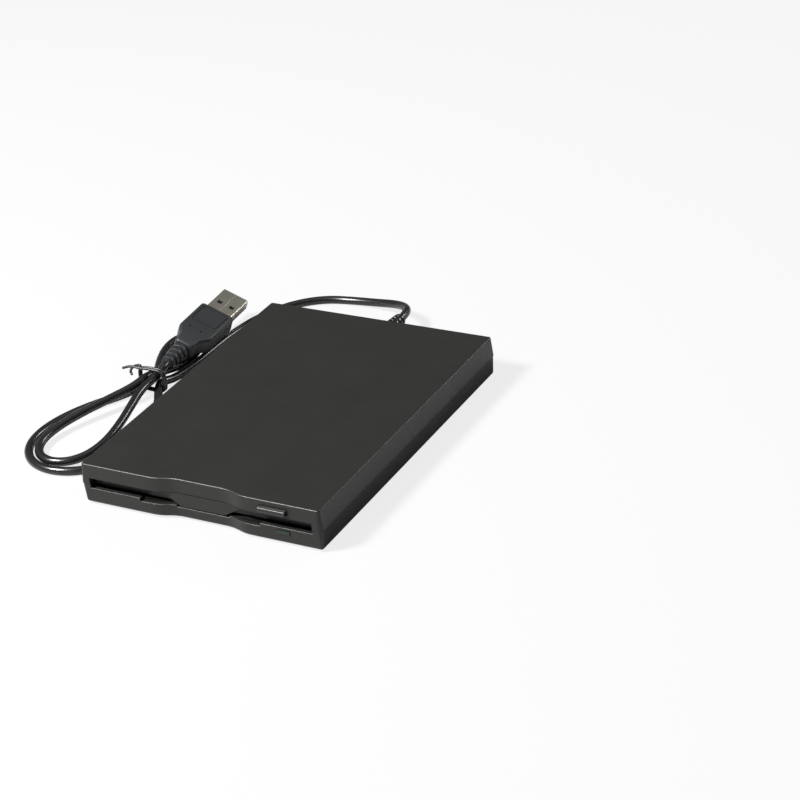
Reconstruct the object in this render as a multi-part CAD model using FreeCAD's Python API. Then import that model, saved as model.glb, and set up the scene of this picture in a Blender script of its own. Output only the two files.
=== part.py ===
import FreeCAD, Part
import math
import os

V = FreeCAD.Vector
UP = V(0, 0, 1)

# Case
CASE_WIDTH = 104.0
CASE_DEPTH = 142.0
CASE_HEIGHT = 16.6
FOOT_PROUD = 0.8
PARTING_HEIGHT = 8.5
WALL = 1.8
ROOF = 1.4
FLOOR = 1.6
CORNER_RADIUS = 1.7
TOP_DRAFT = 0.7
BOTTOM_DRAFT = 0.5
PARTING_STEP = 0.2
BOTTOM_EDGE_RADIUS = 1.3
TOP_EDGE_RADIUS = 0.5
RECESS_DEPTH = 2.3
RECESS_FLAT = 17.0
RECESS_SPAN = 44.0

# Disk slot, finger notch and what shows in the front
SLOT_WIDTH = 96.0
SLOT_LOW = 7.5
SLOT_HEIGHT = 4.4
LIP_WIDTH = 52.0
LIP_DROP = 1.3
NOTCH_WIDTH = 23.0
NOTCH_DROP = 2.1
NOTCH_REACH = 9.0
BUTTON_WIDTH = 11.2
BUTTON_HEIGHT = 2.0
BUTTON_PROUD = 1.3
BUTTON_CENTRE_X = 32.2
BUTTON_GAP = 0.3
LENS_WIDTH = 5.0
LENS_HEIGHT = 1.5
LENS_GAP_BELOW_LIP = 1.1
LENS_OFFSET = 3.5
EDGE_BREAK = 0.25
BUTTON_DISH = 0.25
BUTTON_RIM = 0.75
FLAP_KNUCKLE = 0.6
FLAP_PIN = 0.4

# Feet and screws
FOOT_RADIUS = 5.0
FOOT_SET_IN = 0.3
FOOT_FROM_SIDE = 10.0
FOOT_FROM_END = 15.0
SCREW_HEAD_RADIUS = 2.4
SCREW_HEAD_HEIGHT = 0.7
CASE_SCREW_RADIUS = 1.2
CASE_SCREW_FROM_SIDE = 7.0
CASE_SCREW_FROM_BACK = 7.5
POST_RADIUS = 2.6
BOSS_RADIUS = 3.0

# Clearances
FIT = 0.15
RUNNING = 0.05
SLIDE_GAP = 0.4
CARRIAGE_GAP = 0.2

# Mechanism
SHEET = 0.6
CHASSIS_WIDTH = 97.0
CHASSIS_DEPTH = 118.0
CHASSIS_FLOOR_GAP = 1.0
CHASSIS_FLOOR = 0.8
CHASSIS_WALL_HEIGHT = 10.9
HOLDER_WIDTH = 91.0
HOLDER_MOUTH = 4.3
HOLDER_DEPTH = 90.0
HOLDER_DROP = 2.0
HOLDER_LIP = 3.0
EJECT_TRAVEL = 4.0
ROLLER_RADIUS = 1.2
SPINDLE_FROM_HOLDER_FRONT = 41.0
MECHANISM_INSET = 12.35
ROTOR_RADIUS = 20.0
BEARING_RADIUS = 3.0
COIL_COUNT = 12
HEAD_REACH = 39.5
HEAD_TRAVEL = 14.0
ROD_RADIUS = 1.0
PIVOT_RADIUS = 0.6
ROD_SPACING = 19.0
SCREW_RADIUS = 1.5
SCREW_X = -17.0
MOTOR_RADIUS = 5.2
MOTOR_LENGTH = 8.0
LEVER_REACH = 25.0
LEVER_SWING = 40.0
LEVER_REST_ANGLE = 215.0
LEVER_FROM_SIDE = 5.5
LEVER_FROM_BACK = 11.0

# Cable, tie and plug
CABLE_DIAMETER = 3.5
BOOT_LENGTH = 17.0
BOOT_ROOT_RADIUS = 3.6
BOOT_TIP_RADIUS = 2.5
BOOT_HEIGHT = 8.9
TIE_POINT = V(-75.3, 13.9, 0)
TIE_WIRE_RADIUS = 0.55
PLUG_BODY_WIDTH = 15.8
PLUG_BODY_THICKNESS = 7.6
PLUG_BODY_LENGTH = 28.0
PLUG_RELIEF_LENGTH = 14.4
SHELL_WIDTH = 12.0
SHELL_THICKNESS = 4.5
SHELL_LENGTH = 16.5
SHELL_WALL = 0.3
PLUG_YAW = 2.4
PLUG_TILT = 1.5
PLUG_ROLL = 22.0
PLUG_START = V(-73.2, 21.0, 9.55)
PLUG_LEAD_IN = 2.4
TIE_LIFT = 1.95
STRAND_GAP = 0.6
TIE_CLEARANCE = 0.75
TIE_PITCH = 1.3
TIE_LEFT = 7.0
TIE_RIGHT = 5.6
LARGE_FADE = 0.15
BEND_FADE = 0.42
SMALL_FADE = 1.0
LOOP_POINTS = 16
LARGE_REACH = 70.7
LARGE_HALF = 19.4
LARGE_BULGE = 0.8
LARGE_FAR = V(-79.2, -66.0, 0)
SMALL_REACH = 65.3
SMALL_HALF = 14.6
SMALL_BULGE = 2.1
SMALL_FAR = V(-84.1, -65.6, 0)
BEND_REACH = 47.0
BEND_HALF = 7.6
BEND_BULGE = 1.6
BEND_FAR = V(-86.5, 59.7, 0)

# Planes that follow from the sizes above
FRONT = (BUTTON_PROUD - CASE_DEPTH) / 2
BACK = FRONT + CASE_DEPTH
CASE_LOW = FOOT_PROUD
CASE_TOP = CASE_LOW + CASE_HEIGHT
PARTING = CASE_LOW + PARTING_HEIGHT
CEILING = CASE_TOP - ROOF
INNER_FLOOR = CASE_LOW + FLOOR
SLOT_HIGH = SLOT_LOW + SLOT_HEIGHT
CHASSIS_LOW = INNER_FLOOR + CHASSIS_FLOOR_GAP
CHASSIS_TOP = CHASSIS_LOW + CHASSIS_FLOOR
WALL_TOP = CHASSIS_LOW + CHASSIS_WALL_HEIGHT
CHASSIS_FRONT = FRONT + MECHANISM_INSET
CHASSIS_BACK = CHASSIS_FRONT + CHASSIS_DEPTH
HOLDER_FRONT = CHASSIS_FRONT + 1.0
SPINDLE_Y = HOLDER_FRONT + SPINDLE_FROM_HOLDER_FRONT
HOLDER_BACK = HOLDER_FRONT + HOLDER_DEPTH
HOLDER_LOW = SLOT_LOW + 0.1
HOLDER_TOP = HOLDER_LOW + HOLDER_MOUTH
SLIDER_LOW = HOLDER_TOP + SHEET + 0.7
SLIDER_TOP = SLIDER_LOW + SHEET
BUTTON_LOW = SLIDER_LOW
CABLE_RADIUS = CABLE_DIAMETER / 2
LAY = CABLE_RADIUS + 0.05
HEAD_Y = SPINDLE_Y + HEAD_REACH
BLOCK_FRONT = HOLDER_BACK + HEAD_TRAVEL + 3.0
BLOCK_DEPTH = 7.0
ROD_HEIGHT = CHASSIS_TOP + ROD_RADIUS
SCREW_HEIGHT = CHASSIS_TOP + 4.2
MOTOR_FRONT = CHASSIS_BACK + 0.4
ARM_PIVOT_Y = BLOCK_FRONT + BLOCK_DEPTH - 2.5
ARM_LOW = HOLDER_TOP + SHEET + 0.2
ARM_THICKNESS = 1.0
LEVER_PIVOT = V(HOLDER_WIDTH / 2 - LEVER_FROM_SIDE, HOLDER_BACK - LEVER_FROM_BACK, 0)


def box(x_low, x_high, y_low, y_high, z_low, z_high):
    """A block between two corners."""
    size = V(x_high - x_low, y_high - y_low, z_high - z_low)
    return Part.makeBox(size.x, size.y, size.z, V(x_low, y_low, z_low))


def centred_box(width, y_low, y_high, z_low, z_high, centre_x=0.0):
    """A block centred on an x."""
    return box(centre_x - width / 2, centre_x + width / 2, y_low, y_high, z_low, z_high)


def disc(radius, x, y, z_low, z_high):
    """An upright cylinder."""
    return Part.makeCylinder(radius, z_high - z_low, V(x, y, z_low), UP)


def rod_along_y(radius, x, z, y_low, y_high):
    """A cylinder that lies front to back."""
    return Part.makeCylinder(radius, y_high - y_low, V(x, y_low, z), V(0, 1, 0))


def rod_along_x(radius, y, z, x_low, x_high):
    """A cylinder that lies side to side."""
    return Part.makeCylinder(radius, x_high - x_low, V(x_low, y, z), V(1, 0, 0))


def joined(shapes):
    """One solid from overlapping or touching shapes."""
    return shapes[0].multiFuse(shapes[1:]).removeSplitter()


def mirrored_pair(shape):
    """The shape and its mirror image across the middle plane."""
    return [shape, shape.mirror(V(0, 0, 0), V(1, 0, 0))]


def save(name, shapes):
    """Write one sub-part as a STEP file."""
    group = shapes if isinstance(shapes, list) else [shapes]
    solids = []
    for shape in group:
        solids.extend(shape.Solids)
    result = solids[0] if len(solids) == 1 else Part.makeCompound(solids)
    result.exportStep("parts/" + name + ".step")
    print(name, len(solids), "solids", round(sum(s.Volume for s in solids), 2), "mm3", result.isValid())


def case_outline(inset, z):
    """The case's outline at a height: round corners and the wave in the front."""
    half = CASE_WIDTH / 2 - inset
    front = FRONT + inset
    back = BACK - inset
    radius = max(CORNER_RADIUS - inset, 0.4)
    slant = radius * (1 - math.sqrt(0.5))
    recess = front + RECESS_DEPTH
    outer = RECESS_SPAN / 2
    flat = RECESS_FLAT / 2
    middle = (outer + flat) / 2
    edges = [
        Part.LineSegment(V(-half + radius, front, z), V(-outer, front, z)),
        bezier([V(-outer, front, z), V(-middle, front, z), V(-middle, recess, z), V(-flat, recess, z)]),
        Part.LineSegment(V(-flat, recess, z), V(flat, recess, z)),
        bezier([V(flat, recess, z), V(middle, recess, z), V(middle, front, z), V(outer, front, z)]),
        Part.LineSegment(V(outer, front, z), V(half - radius, front, z)),
        Part.Arc(V(half - radius, front, z), V(half - slant, front + slant, z), V(half, front + radius, z)),
        Part.LineSegment(V(half, front + radius, z), V(half, back - radius, z)),
        Part.Arc(V(half, back - radius, z), V(half - slant, back - slant, z), V(half - radius, back, z)),
        Part.LineSegment(V(half - radius, back, z), V(-half + radius, back, z)),
        Part.Arc(V(-half + radius, back, z), V(-half + slant, back - slant, z), V(-half, back - radius, z)),
        Part.LineSegment(V(-half, back - radius, z), V(-half, front + radius, z)),
        Part.Arc(V(-half, front + radius, z), V(-half + slant, front + slant, z), V(-half + radius, front, z)),
    ]
    return Part.Wire([edge.toShape() for edge in edges])


def bezier(poles):
    """A smooth curve through its end poles."""
    curve = Part.BezierCurve()
    curve.setPoles(poles)
    return curve


def edges_at(shape, z):
    """The edges that lie wholly at one height."""
    return [e for e in shape.Edges if abs(e.BoundBox.ZMin - z) < 1e-4 and abs(e.BoundBox.ZMax - z) < 1e-4]


def slot_cut():
    """What the disk slot and the lowered lips take out of the front."""
    reach = WALL + RECESS_DEPTH + 1.5
    cuts = [centred_box(SLOT_WIDTH, FRONT - 1, FRONT + reach, SLOT_LOW, SLOT_HIGH)]
    cuts.append(centred_box(LIP_WIDTH, FRONT - 1, FRONT + NOTCH_REACH, SLOT_LOW - LIP_DROP, SLOT_LOW + 1))
    cuts.append(centred_box(NOTCH_WIDTH, FRONT - 1, FRONT + NOTCH_REACH, SLOT_LOW - NOTCH_DROP, SLOT_LOW + 1))
    return joined(cuts)


def flap_axis():
    """Where the flap turns."""
    return V(0, FRONT + RECESS_DEPTH + WALL, SLIDER_LOW - FLAP_KNUCKLE - 0.25)


def top_cover():
    """The upper shell, with its boss, flap ears and the button's window."""
    outer = Part.makeLoft([case_outline(0, PARTING), case_outline(TOP_DRAFT, CASE_TOP)], True, True)
    outer = outer.makeFillet(TOP_EDGE_RADIUS, edges_at(outer, CASE_TOP))
    inner = Part.makeLoft([case_outline(WALL, PARTING - 1), case_outline(WALL + TOP_DRAFT, CEILING)], True, True)
    shell = outer.cut(inner)
    axis = flap_axis()
    ear_x = SLOT_WIDTH / 2 + FIT
    ear = box(ear_x, ear_x + 1.0, axis.y - 1.2, axis.y + 1.2, axis.z - 1.2, CEILING + 0.2)
    boss_x, boss_y = case_screw_places()[1]
    boss = disc(POST_RADIUS, boss_x, boss_y, PARTING - 3.0, CEILING + 0.2)
    shell = joined([shell] + mirrored_pair(ear) + mirrored_pair(boss))
    for x, y in case_screw_places():
        shell = shell.cut(disc(CASE_SCREW_RADIUS, x, y, 0, PARTING + 2.5))
    shell = shell.cut(rod_along_x(FLAP_PIN + RUNNING, axis.y, axis.z, -CASE_WIDTH / 2 + 3, CASE_WIDTH / 2 - 3))
    window = centred_box(BUTTON_WIDTH + 2 * BUTTON_GAP, FRONT - 1, FRONT + WALL + 1,
                         BUTTON_LOW - BUTTON_GAP, BUTTON_LOW + BUTTON_HEIGHT + BUTTON_GAP, BUTTON_CENTRE_X)
    boot_hole = rod_along_y(BOOT_ROOT_RADIUS - 0.6 + FIT, 0, BOOT_HEIGHT, BACK - WALL - 2, BACK + 1)
    gap = FLAP_KNUCKLE + 0.25
    flap_room = centred_box(SLOT_WIDTH + 2 * FIT, axis.y - gap, axis.y + 2.5, SLOT_HIGH - 1, axis.z + gap)
    return shell.cut(slot_cut()).cut(flap_room).cut(window).cut(boot_hole)


def bottom_cover():
    """The lower tray, with bosses for the mechanism, foot recesses and the lip step."""
    edge = PARTING_STEP
    low = case_outline(edge + BOTTOM_DRAFT, CASE_LOW)
    outer = Part.makeLoft([low, case_outline(edge, PARTING)], True, True)
    outer = outer.makeFillet(BOTTOM_EDGE_RADIUS, edges_at(outer, CASE_LOW))
    inner = Part.makeLoft([case_outline(WALL + edge + BOTTOM_DRAFT, INNER_FLOOR),
                           case_outline(WALL + edge, PARTING + 1)], True, True)
    tray = outer.cut(inner)
    shelf = centred_box(LIP_WIDTH, FRONT + RECESS_DEPTH + 1.0, FRONT + NOTCH_REACH, CASE_LOW + 0.5, SLOT_LOW - LIP_DROP)
    bosses = [disc(BOSS_RADIUS, x, y, CASE_LOW + 0.5, CHASSIS_LOW) for x, y in mechanism_screw_places()]
    posts = [disc(POST_RADIUS, x, y, CASE_LOW + 0.5, PARTING - 3.0) for x, y in case_screw_places()]
    rests = [box(x, x + 3, CHASSIS_BACK + 2, CHASSIS_BACK + 7, CASE_LOW + 0.5, CHASSIS_LOW) for x in (10, 38)]
    tray = joined([tray, shelf] + bosses + posts + rests)
    tray = tray.cut(slot_cut())
    tray = tray.makeFillet(EDGE_BREAK, lip_edges(tray))
    for x, y in mechanism_screw_places() + case_screw_places():
        tray = tray.cut(disc(CASE_SCREW_RADIUS, x, y, 0, PARTING))
        tray = tray.cut(disc(SCREW_HEAD_RADIUS + FIT, x, y, 0, CASE_LOW + SCREW_HEAD_HEIGHT + 0.2))
    for x, y in foot_places():
        tray = tray.cut(disc(FOOT_RADIUS + FIT, x, y, 0, CASE_LOW + FOOT_SET_IN))
    boot_hole = rod_along_y(BOOT_ROOT_RADIUS - 0.6 + FIT, 0, BOOT_HEIGHT, BACK - WALL - 2, BACK + 1)
    return tray.cut(boot_hole).cut(lens_shape(FIT))


def lip_edges(tray):
    """The front edges of the slot's lower lip at its three heights."""
    heights = (SLOT_LOW, SLOT_LOW - LIP_DROP, SLOT_LOW - NOTCH_DROP)
    found = [edge for z in heights for edge in edges_at(tray, z)]
    return [edge for edge in found if edge.BoundBox.YMax < FRONT + RECESS_DEPTH + 0.8 and edge.BoundBox.XLength > 1.0]


def lens_shape(grown):
    """The lamp's small window under the lip."""
    high = SLOT_LOW - LENS_GAP_BELOW_LIP
    return centred_box(LENS_WIDTH + 2 * grown, FRONT - 0.1 + PARTING_STEP, FRONT + 3.2,
                       high - LENS_HEIGHT - grown, high + grown, BUTTON_CENTRE_X + LENS_OFFSET)


def case_screw_places():
    """The two screws behind, which close the case."""
    side_x = CASE_WIDTH / 2 - CASE_SCREW_FROM_SIDE
    return [(side * side_x, BACK - CASE_SCREW_FROM_BACK) for side in (-1, 1)]


def mechanism_screw_places():
    """The four screws that hold the chassis to the tray."""
    side_x = CHASSIS_WIDTH / 2 - 10.5
    return [(x, CHASSIS_FRONT + y) for x in (-side_x, side_x) for y in (11.0, 88.0)]


def foot_places():
    """The four feet."""
    side_x = CASE_WIDTH / 2 - FOOT_FROM_SIDE
    end_y = CASE_DEPTH / 2 - FOOT_FROM_END
    return [(x * side_x, y * end_y) for x in (-1, 1) for y in (-1, 1)]


def rubber_feet():
    """Four round pads, set a little into the tray."""
    return [disc(FOOT_RADIUS, x, y, 0, CASE_LOW + FOOT_SET_IN) for x, y in foot_places()]


def screw(x, y, low, high):
    """A pan head screw seen from below, with its cross slot."""
    head = disc(SCREW_HEAD_RADIUS, x, y, low, low + SCREW_HEAD_HEIGHT)
    body = joined([head, disc(CASE_SCREW_RADIUS - RUNNING, x, y, low, high)])
    reach = SCREW_HEAD_RADIUS * 0.6
    arm = box(x - reach, x + reach, y - 0.2, y + 0.2, low - 0.1, low + 0.35)
    cross = arm.copy()
    cross.rotate(V(x, y, 0), UP, 90)
    return body.cut(arm).cut(cross)


def case_screws():
    """The two screws of the case."""
    return [screw(x, y, CASE_LOW + 0.2, PARTING + 2.3) for x, y in case_screw_places()]


def mechanism_screws():
    """The four screws of the chassis."""
    return [screw(x, y, CASE_LOW + 0.2, CHASSIS_TOP) for x, y in mechanism_screw_places()]


def button_placed():
    """The button with its stem, which sits on the slider's tab."""
    pad = centred_box(BUTTON_WIDTH, FRONT - BUTTON_PROUD, FRONT + 4.0, BUTTON_LOW, BUTTON_LOW + BUTTON_HEIGHT,
                      BUTTON_CENTRE_X)
    pad = pad.makeFillet(0.35, [e for e in pad.Edges if e.BoundBox.YMax < FRONT - BUTTON_PROUD + 1e-4])
    dish = centred_box(BUTTON_WIDTH - 2 * BUTTON_RIM, FRONT - BUTTON_PROUD - 1, FRONT - BUTTON_PROUD + BUTTON_DISH,
                       BUTTON_LOW + BUTTON_RIM, BUTTON_LOW + BUTTON_HEIGHT - BUTTON_RIM, BUTTON_CENTRE_X)
    pad = pad.cut(dish)
    stem = centred_box(6.0, FRONT + 4.0, FRONT + 12.0, SLIDER_TOP, BUTTON_LOW + BUTTON_HEIGHT - 0.2, BUTTON_CENTRE_X)
    tab_room = centred_box(9.0, FRONT + 2.4, FRONT + 13.0, SLIDER_LOW - 0.1, SLIDER_TOP, BUTTON_CENTRE_X)
    return joined([pad, stem]).cut(tab_room)


def slot_flap():
    """The dust door: a long plate, with a tab in the middle that fills the notch."""
    axis = flap_axis()
    side_low = SLOT_LOW + 0.2
    length = SLOT_WIDTH - 2 * FIT
    plate = centred_box(length, axis.y - 0.5, axis.y + 0.3, side_low, axis.z)
    knuckle = rod_along_x(FLAP_KNUCKLE, axis.y, axis.z, -length / 2, length / 2)
    pins = rod_along_x(FLAP_PIN, axis.y, axis.z, -length / 2 - 1.0, length / 2 + 1.0)
    tab_front = FRONT + RECESS_DEPTH + 0.3
    tab_low = SLOT_LOW - NOTCH_DROP + 0.45
    top = SLOT_HIGH - 0.3
    outline = [(-9.6, tab_low), (9.6, tab_low), (13.4, side_low + 0.4), (21.0, top), (-21.0, top),
               (-13.4, side_low + 0.4)]
    points = [V(x, tab_front, z) for x, z in outline]
    tab = Part.Face(Part.makePolygon(points + points[:1])).extrude(V(0, axis.y + 0.3 - tab_front, 0))
    front_edge = [e for e in tab.Edges if e.BoundBox.YMax < tab_front + 1e-4 and e.BoundBox.ZMin < top - 1e-4]
    tab = tab.makeFillet(0.5, front_edge)
    return joined([plate, knuckle, pins, tab])


def chassis():
    """The steel tray of the mechanism, open for the motor and the heads."""
    half = CHASSIS_WIDTH / 2
    floor = box(-half, half, CHASSIS_FRONT, CHASSIS_BACK, CHASSIS_LOW, CHASSIS_TOP)
    wall = box(half - SHEET, half, CHASSIS_FRONT, CHASSIS_BACK, CHASSIS_LOW, WALL_TOP)
    tray = joined([floor] + mirrored_pair(wall))
    tray = tray.cut(disc(ROTOR_RADIUS + 1.5, 0, SPINDLE_Y, 0, CHASSIS_TOP + 1))
    tray = tray.cut(centred_box(ROD_SPACING + 6.0, HEAD_Y - HEAD_TRAVEL - 8, BLOCK_FRONT + BLOCK_DEPTH + 1, 0,
                                CHASSIS_TOP + 1).cut(clamp_feet()))
    for y in roller_places():
        upright = box(-half - 1, half + 1, y - ROLLER_RADIUS - 0.2, y + ROLLER_RADIUS + 0.2,
                      roller_height() - HOLDER_DROP - ROLLER_RADIUS - 0.2, roller_height() + ROLLER_RADIUS + 0.2)
        tray = tray.cut(upright)
    for x, y in mechanism_screw_places():
        tray = tray.cut(disc(CASE_SCREW_RADIUS, x, y, 0, CHASSIS_TOP + 1))
    return tray


def roller_places():
    """Where the holder's side pins are, front to back."""
    return [HOLDER_FRONT + 12.0, HOLDER_BACK - 14.0]


def roller_height():
    """The height of the side pins with the holder up."""
    return HOLDER_LOW + 1.6


def cartridge_holder():
    """The sheet that the disk slides into: a roof, two sides and two lips."""
    half = HOLDER_WIDTH / 2
    roof = box(-half - SHEET, half + SHEET, HOLDER_FRONT, HOLDER_BACK, HOLDER_TOP, HOLDER_TOP + SHEET)
    side = box(half, half + SHEET, HOLDER_FRONT, HOLDER_BACK, HOLDER_LOW - SHEET, HOLDER_TOP + SHEET)
    lip = box(half - HOLDER_LIP, half + SHEET, HOLDER_FRONT, HOLDER_BACK, HOLDER_LOW - SHEET, HOLDER_LOW)
    pins = []
    for y in roller_places():
        pins.append(rod_along_x(ROLLER_RADIUS, y, roller_height(), half + SHEET / 2, CHASSIS_WIDTH / 2 + 0.2))
    holder = joined([roof] + mirrored_pair(side) + mirrored_pair(lip)
                    + [each for pin in pins for each in mirrored_pair(pin)])
    holder = holder.cut(centred_box(14.0, HEAD_Y - HEAD_TRAVEL - 10, HOLDER_BACK + 1, HOLDER_TOP - 1, SLIDER_LOW))
    slot = ring_sector(LEVER_REACH - 1.7, LEVER_REACH + 1.7, LEVER_REST_ANGLE - LEVER_SWING - 5,
                       LEVER_REST_ANGLE + 5, HOLDER_TOP - 1, HOLDER_TOP + SHEET + 1)
    slot.translate(LEVER_PIVOT)
    pivot_hole = disc(1.2, LEVER_PIVOT.x, LEVER_PIVOT.y, HOLDER_TOP - 1, HOLDER_TOP + 2)
    return holder.cut(slot).cut(pivot_hole)


def ring_sector(inner, outer, start, end, z_low, z_high):
    """A part of a flat ring between two angles."""
    ring = Part.makeCylinder(outer, z_high - z_low, V(0, 0, z_low), UP, end - start)
    ring = ring.cut(Part.makeCylinder(inner, z_high - z_low + 2, V(0, 0, z_low - 1), UP))
    ring.rotate(V(0, 0, 0), UP, start)
    return ring


def eject_slider():
    """The sliding frame: a front bridge, two rails and sides with slanted slots."""
    half = HOLDER_WIDTH / 2 + SHEET + SLIDE_GAP
    outer = half + SHEET
    front = HOLDER_FRONT + EJECT_TRAVEL + 1.0
    back = HOLDER_BACK - 4.0
    bridge = box(-outer, outer, front, front + 16.0, SLIDER_LOW, SLIDER_TOP)
    rail = box(outer - 4.6, outer, front, back, SLIDER_LOW, SLIDER_TOP)
    side = box(half, outer, front, back, HOLDER_LOW - 1.2, SLIDER_TOP)
    tab = centred_box(8.4, FRONT + 3.4, front + 1.0, SLIDER_LOW, SLIDER_TOP, BUTTON_CENTRE_X)
    frame = joined([bridge, tab] + mirrored_pair(rail) + mirrored_pair(side))
    for y in roller_places():
        frame = frame.cut(slanted_slot(y, outer))
    return frame


def slanted_slot(y, reach):
    """The slot that lowers a side pin as the slider comes forward."""
    radius = ROLLER_RADIUS + 0.2
    high = V(-reach - 1, y, roller_height())
    low = high + V(0, EJECT_TRAVEL, -HOLDER_DROP)
    width = 2 * reach + 2
    ends = [Part.makeCylinder(radius, width, point, V(1, 0, 0)) for point in (high, low)]
    run = low - high
    side = V(0, -run.z, run.y).normalize() * radius
    corners = [high + side, low + side, low - side, high - side]
    middle = Part.Face(Part.makePolygon(corners + corners[:1])).extrude(V(width, 0, 0))
    return joined(ends + [middle])


def mechanism_cover():
    """The thin lid of the mechanism."""
    lid = box(-CHASSIS_WIDTH / 2, CHASSIS_WIDTH / 2, CHASSIS_FRONT + 14, CHASSIS_BACK, WALL_TOP, WALL_TOP + 0.5)
    return lid.cut(centred_box(30.0, SPINDLE_Y - 10, SPINDLE_Y + 14, WALL_TOP - 1, WALL_TOP + 1))


def lever_pin_place():
    """The lever's pin at rest."""
    angle = math.radians(LEVER_REST_ANGLE)
    return LEVER_PIVOT + V(LEVER_REACH * math.cos(angle), LEVER_REACH * math.sin(angle), 0)


def shutter_lever():
    """The arm that pushes the disk's shutter open, with its pin."""
    low = HOLDER_TOP + SHEET + 0.1
    pin = lever_pin_place()
    hub = disc(3.0, LEVER_PIVOT.x, LEVER_PIVOT.y, low, low + SHEET)
    arm = box(0, LEVER_REACH, -1.6, 1.6, low, low + SHEET)
    arm.rotate(V(0, 0, 0), UP, LEVER_REST_ANGLE)
    arm.translate(LEVER_PIVOT)
    eye = disc(1.9, pin.x, pin.y, low, low + SHEET)
    finger = disc(1.2, pin.x, pin.y, HOLDER_TOP - 2.2, low + SHEET)
    lever = joined([hub, arm, eye, finger])
    return lever.cut(disc(1.2 + RUNNING, LEVER_PIVOT.x, LEVER_PIVOT.y, low - 1, low + 2))


def lever_rivet():
    """The rivet that the lever turns on."""
    top = HOLDER_TOP + 2 * SHEET + 0.15
    shank = disc(1.2, LEVER_PIVOT.x, LEVER_PIVOT.y, HOLDER_TOP, top)
    head = disc(1.9, LEVER_PIVOT.x, LEVER_PIVOT.y, top, top + 0.4)
    return joined([shank, head])


def motor_board():
    """The spindle motor's board, against the chassis floor."""
    board = centred_box(62.0, SPINDLE_Y - 29, SPINDLE_Y + 27, CHASSIS_LOW - SHEET, CHASSIS_LOW)
    return board.cut(disc(BEARING_RADIUS, 0, SPINDLE_Y, 0, CHASSIS_TOP))


def spindle_bearing():
    """The bearing sleeve in the board, with its collar."""
    low = CHASSIS_LOW - SHEET
    sleeve = disc(BEARING_RADIUS, 0, SPINDLE_Y, low, CHASSIS_TOP + 1.2)
    collar = disc(5.0, 0, SPINDLE_Y, CHASSIS_LOW, CHASSIS_LOW + 0.3)
    return joined([sleeve, collar])


def stator_coils():
    """Flat coils in a ring round the bearing."""
    coils = []
    for index in range(COIL_COUNT):
        coil = box(9.0, ROTOR_RADIUS - 2.2, -1.8, 1.8, CHASSIS_LOW, CHASSIS_LOW + 0.6)
        coil = coil.makeFillet(0.8, [e for e in coil.Edges if e.BoundBox.ZLength > 0.5])
        coil.rotate(V(0, 0, 0), UP, index * 360.0 / COIL_COUNT)
        coil.translate(V(0, SPINDLE_Y, 0))
        coils.append(coil)
    return coils


def spindle_rotor():
    """The rotor cup with the plate that the disk's hub sits on."""
    low = CHASSIS_LOW + 0.9
    plate = disc(ROTOR_RADIUS, 0, SPINDLE_Y, low, low + 0.6)
    rim = disc(ROTOR_RADIUS, 0, SPINDLE_Y, CHASSIS_LOW + 0.2, low + 0.6)
    rim = rim.cut(disc(ROTOR_RADIUS - 1.2, 0, SPINDLE_Y, 0, low + 1))
    hub = disc(11.5, 0, SPINDLE_Y, low, low + 1.1)
    rotor = joined([plate, rim, hub])
    rotor = rotor.cut(disc(BEARING_RADIUS + RUNNING, 0, SPINDLE_Y, 0, CHASSIS_TOP + 3))
    return rotor.cut(disc(1.0, 8.0, SPINDLE_Y, low - 1, low + 2))


def drive_pin():
    """The pin that catches the disk's hub."""
    low = CHASSIS_LOW + 0.9
    return disc(1.0, 8.0, SPINDLE_Y, low, low + 1.9)


def head_carriage():
    """The sled: a long foot under the disk and a block behind it on two rods."""
    foot_top = CHASSIS_TOP + 0.8
    back = BLOCK_FRONT + BLOCK_DEPTH
    low = CHASSIS_LOW + CARRIAGE_GAP
    foot = centred_box(11.0, HEAD_Y - 5.0, back, low, foot_top)
    block = centred_box(ROD_SPACING + 4.4, BLOCK_FRONT, back, low, ROD_HEIGHT + 2.4)
    tower = centred_box(6.0, BLOCK_FRONT + 1.0, back, ROD_HEIGHT, ARM_LOW - 0.3)
    lug = box(SCREW_X - 2.8, -8.0, BLOCK_FRONT + 1.5, BLOCK_FRONT + 4.5, SCREW_HEIGHT - 2.0, SCREW_HEIGHT + 2.8)
    shoulder = box(-12.0, -5.0, BLOCK_FRONT + 1.5, BLOCK_FRONT + 4.5, ROD_HEIGHT, SCREW_HEIGHT + 2.8)
    sled = joined([foot, block, tower, lug, shoulder])
    sled = sled.cut(rod_along_x(PIVOT_RADIUS, ARM_PIVOT_Y, ARM_LOW - 1.3, -6, 6))
    for side in (-1, 1):
        bore = rod_along_y(ROD_RADIUS + RUNNING, side * ROD_SPACING / 2, ROD_HEIGHT, 0, BACK)
        sled = sled.cut(bore)
    return sled.cut(rod_along_y(SCREW_RADIUS + 0.15, SCREW_X, SCREW_HEIGHT, 0, BACK))


def lower_head():
    """The lower head on its small seat."""
    top = CHASSIS_TOP + 0.8
    return joined([centred_box(6.0, HEAD_Y - 3, HEAD_Y + 3, top, top + 0.3),
                   centred_box(2.6, HEAD_Y - 1.6, HEAD_Y + 1.6, top + 0.3, top + 0.9)])


def upper_head_arm():
    """The upper arm, with knuckles that clip over the pivot rod."""
    beam = centred_box(9.0, HEAD_Y - 4.0, ARM_PIVOT_Y + 1.2, ARM_LOW, ARM_LOW + ARM_THICKNESS)
    beam = beam.cut(centred_box(4.0, HEAD_Y + 6.0, ARM_PIVOT_Y - 8, ARM_LOW - 1, ARM_LOW + 2))
    knuckle = box(3.4, 4.5, ARM_PIVOT_Y - 1.2, ARM_PIVOT_Y + 1.2, ARM_LOW - 2.4, ARM_LOW + 0.1)
    arm = joined([beam] + mirrored_pair(knuckle))
    return arm.cut(rod_along_x(PIVOT_RADIUS + RUNNING, ARM_PIVOT_Y, ARM_LOW - 1.3, -6, 6))


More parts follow.
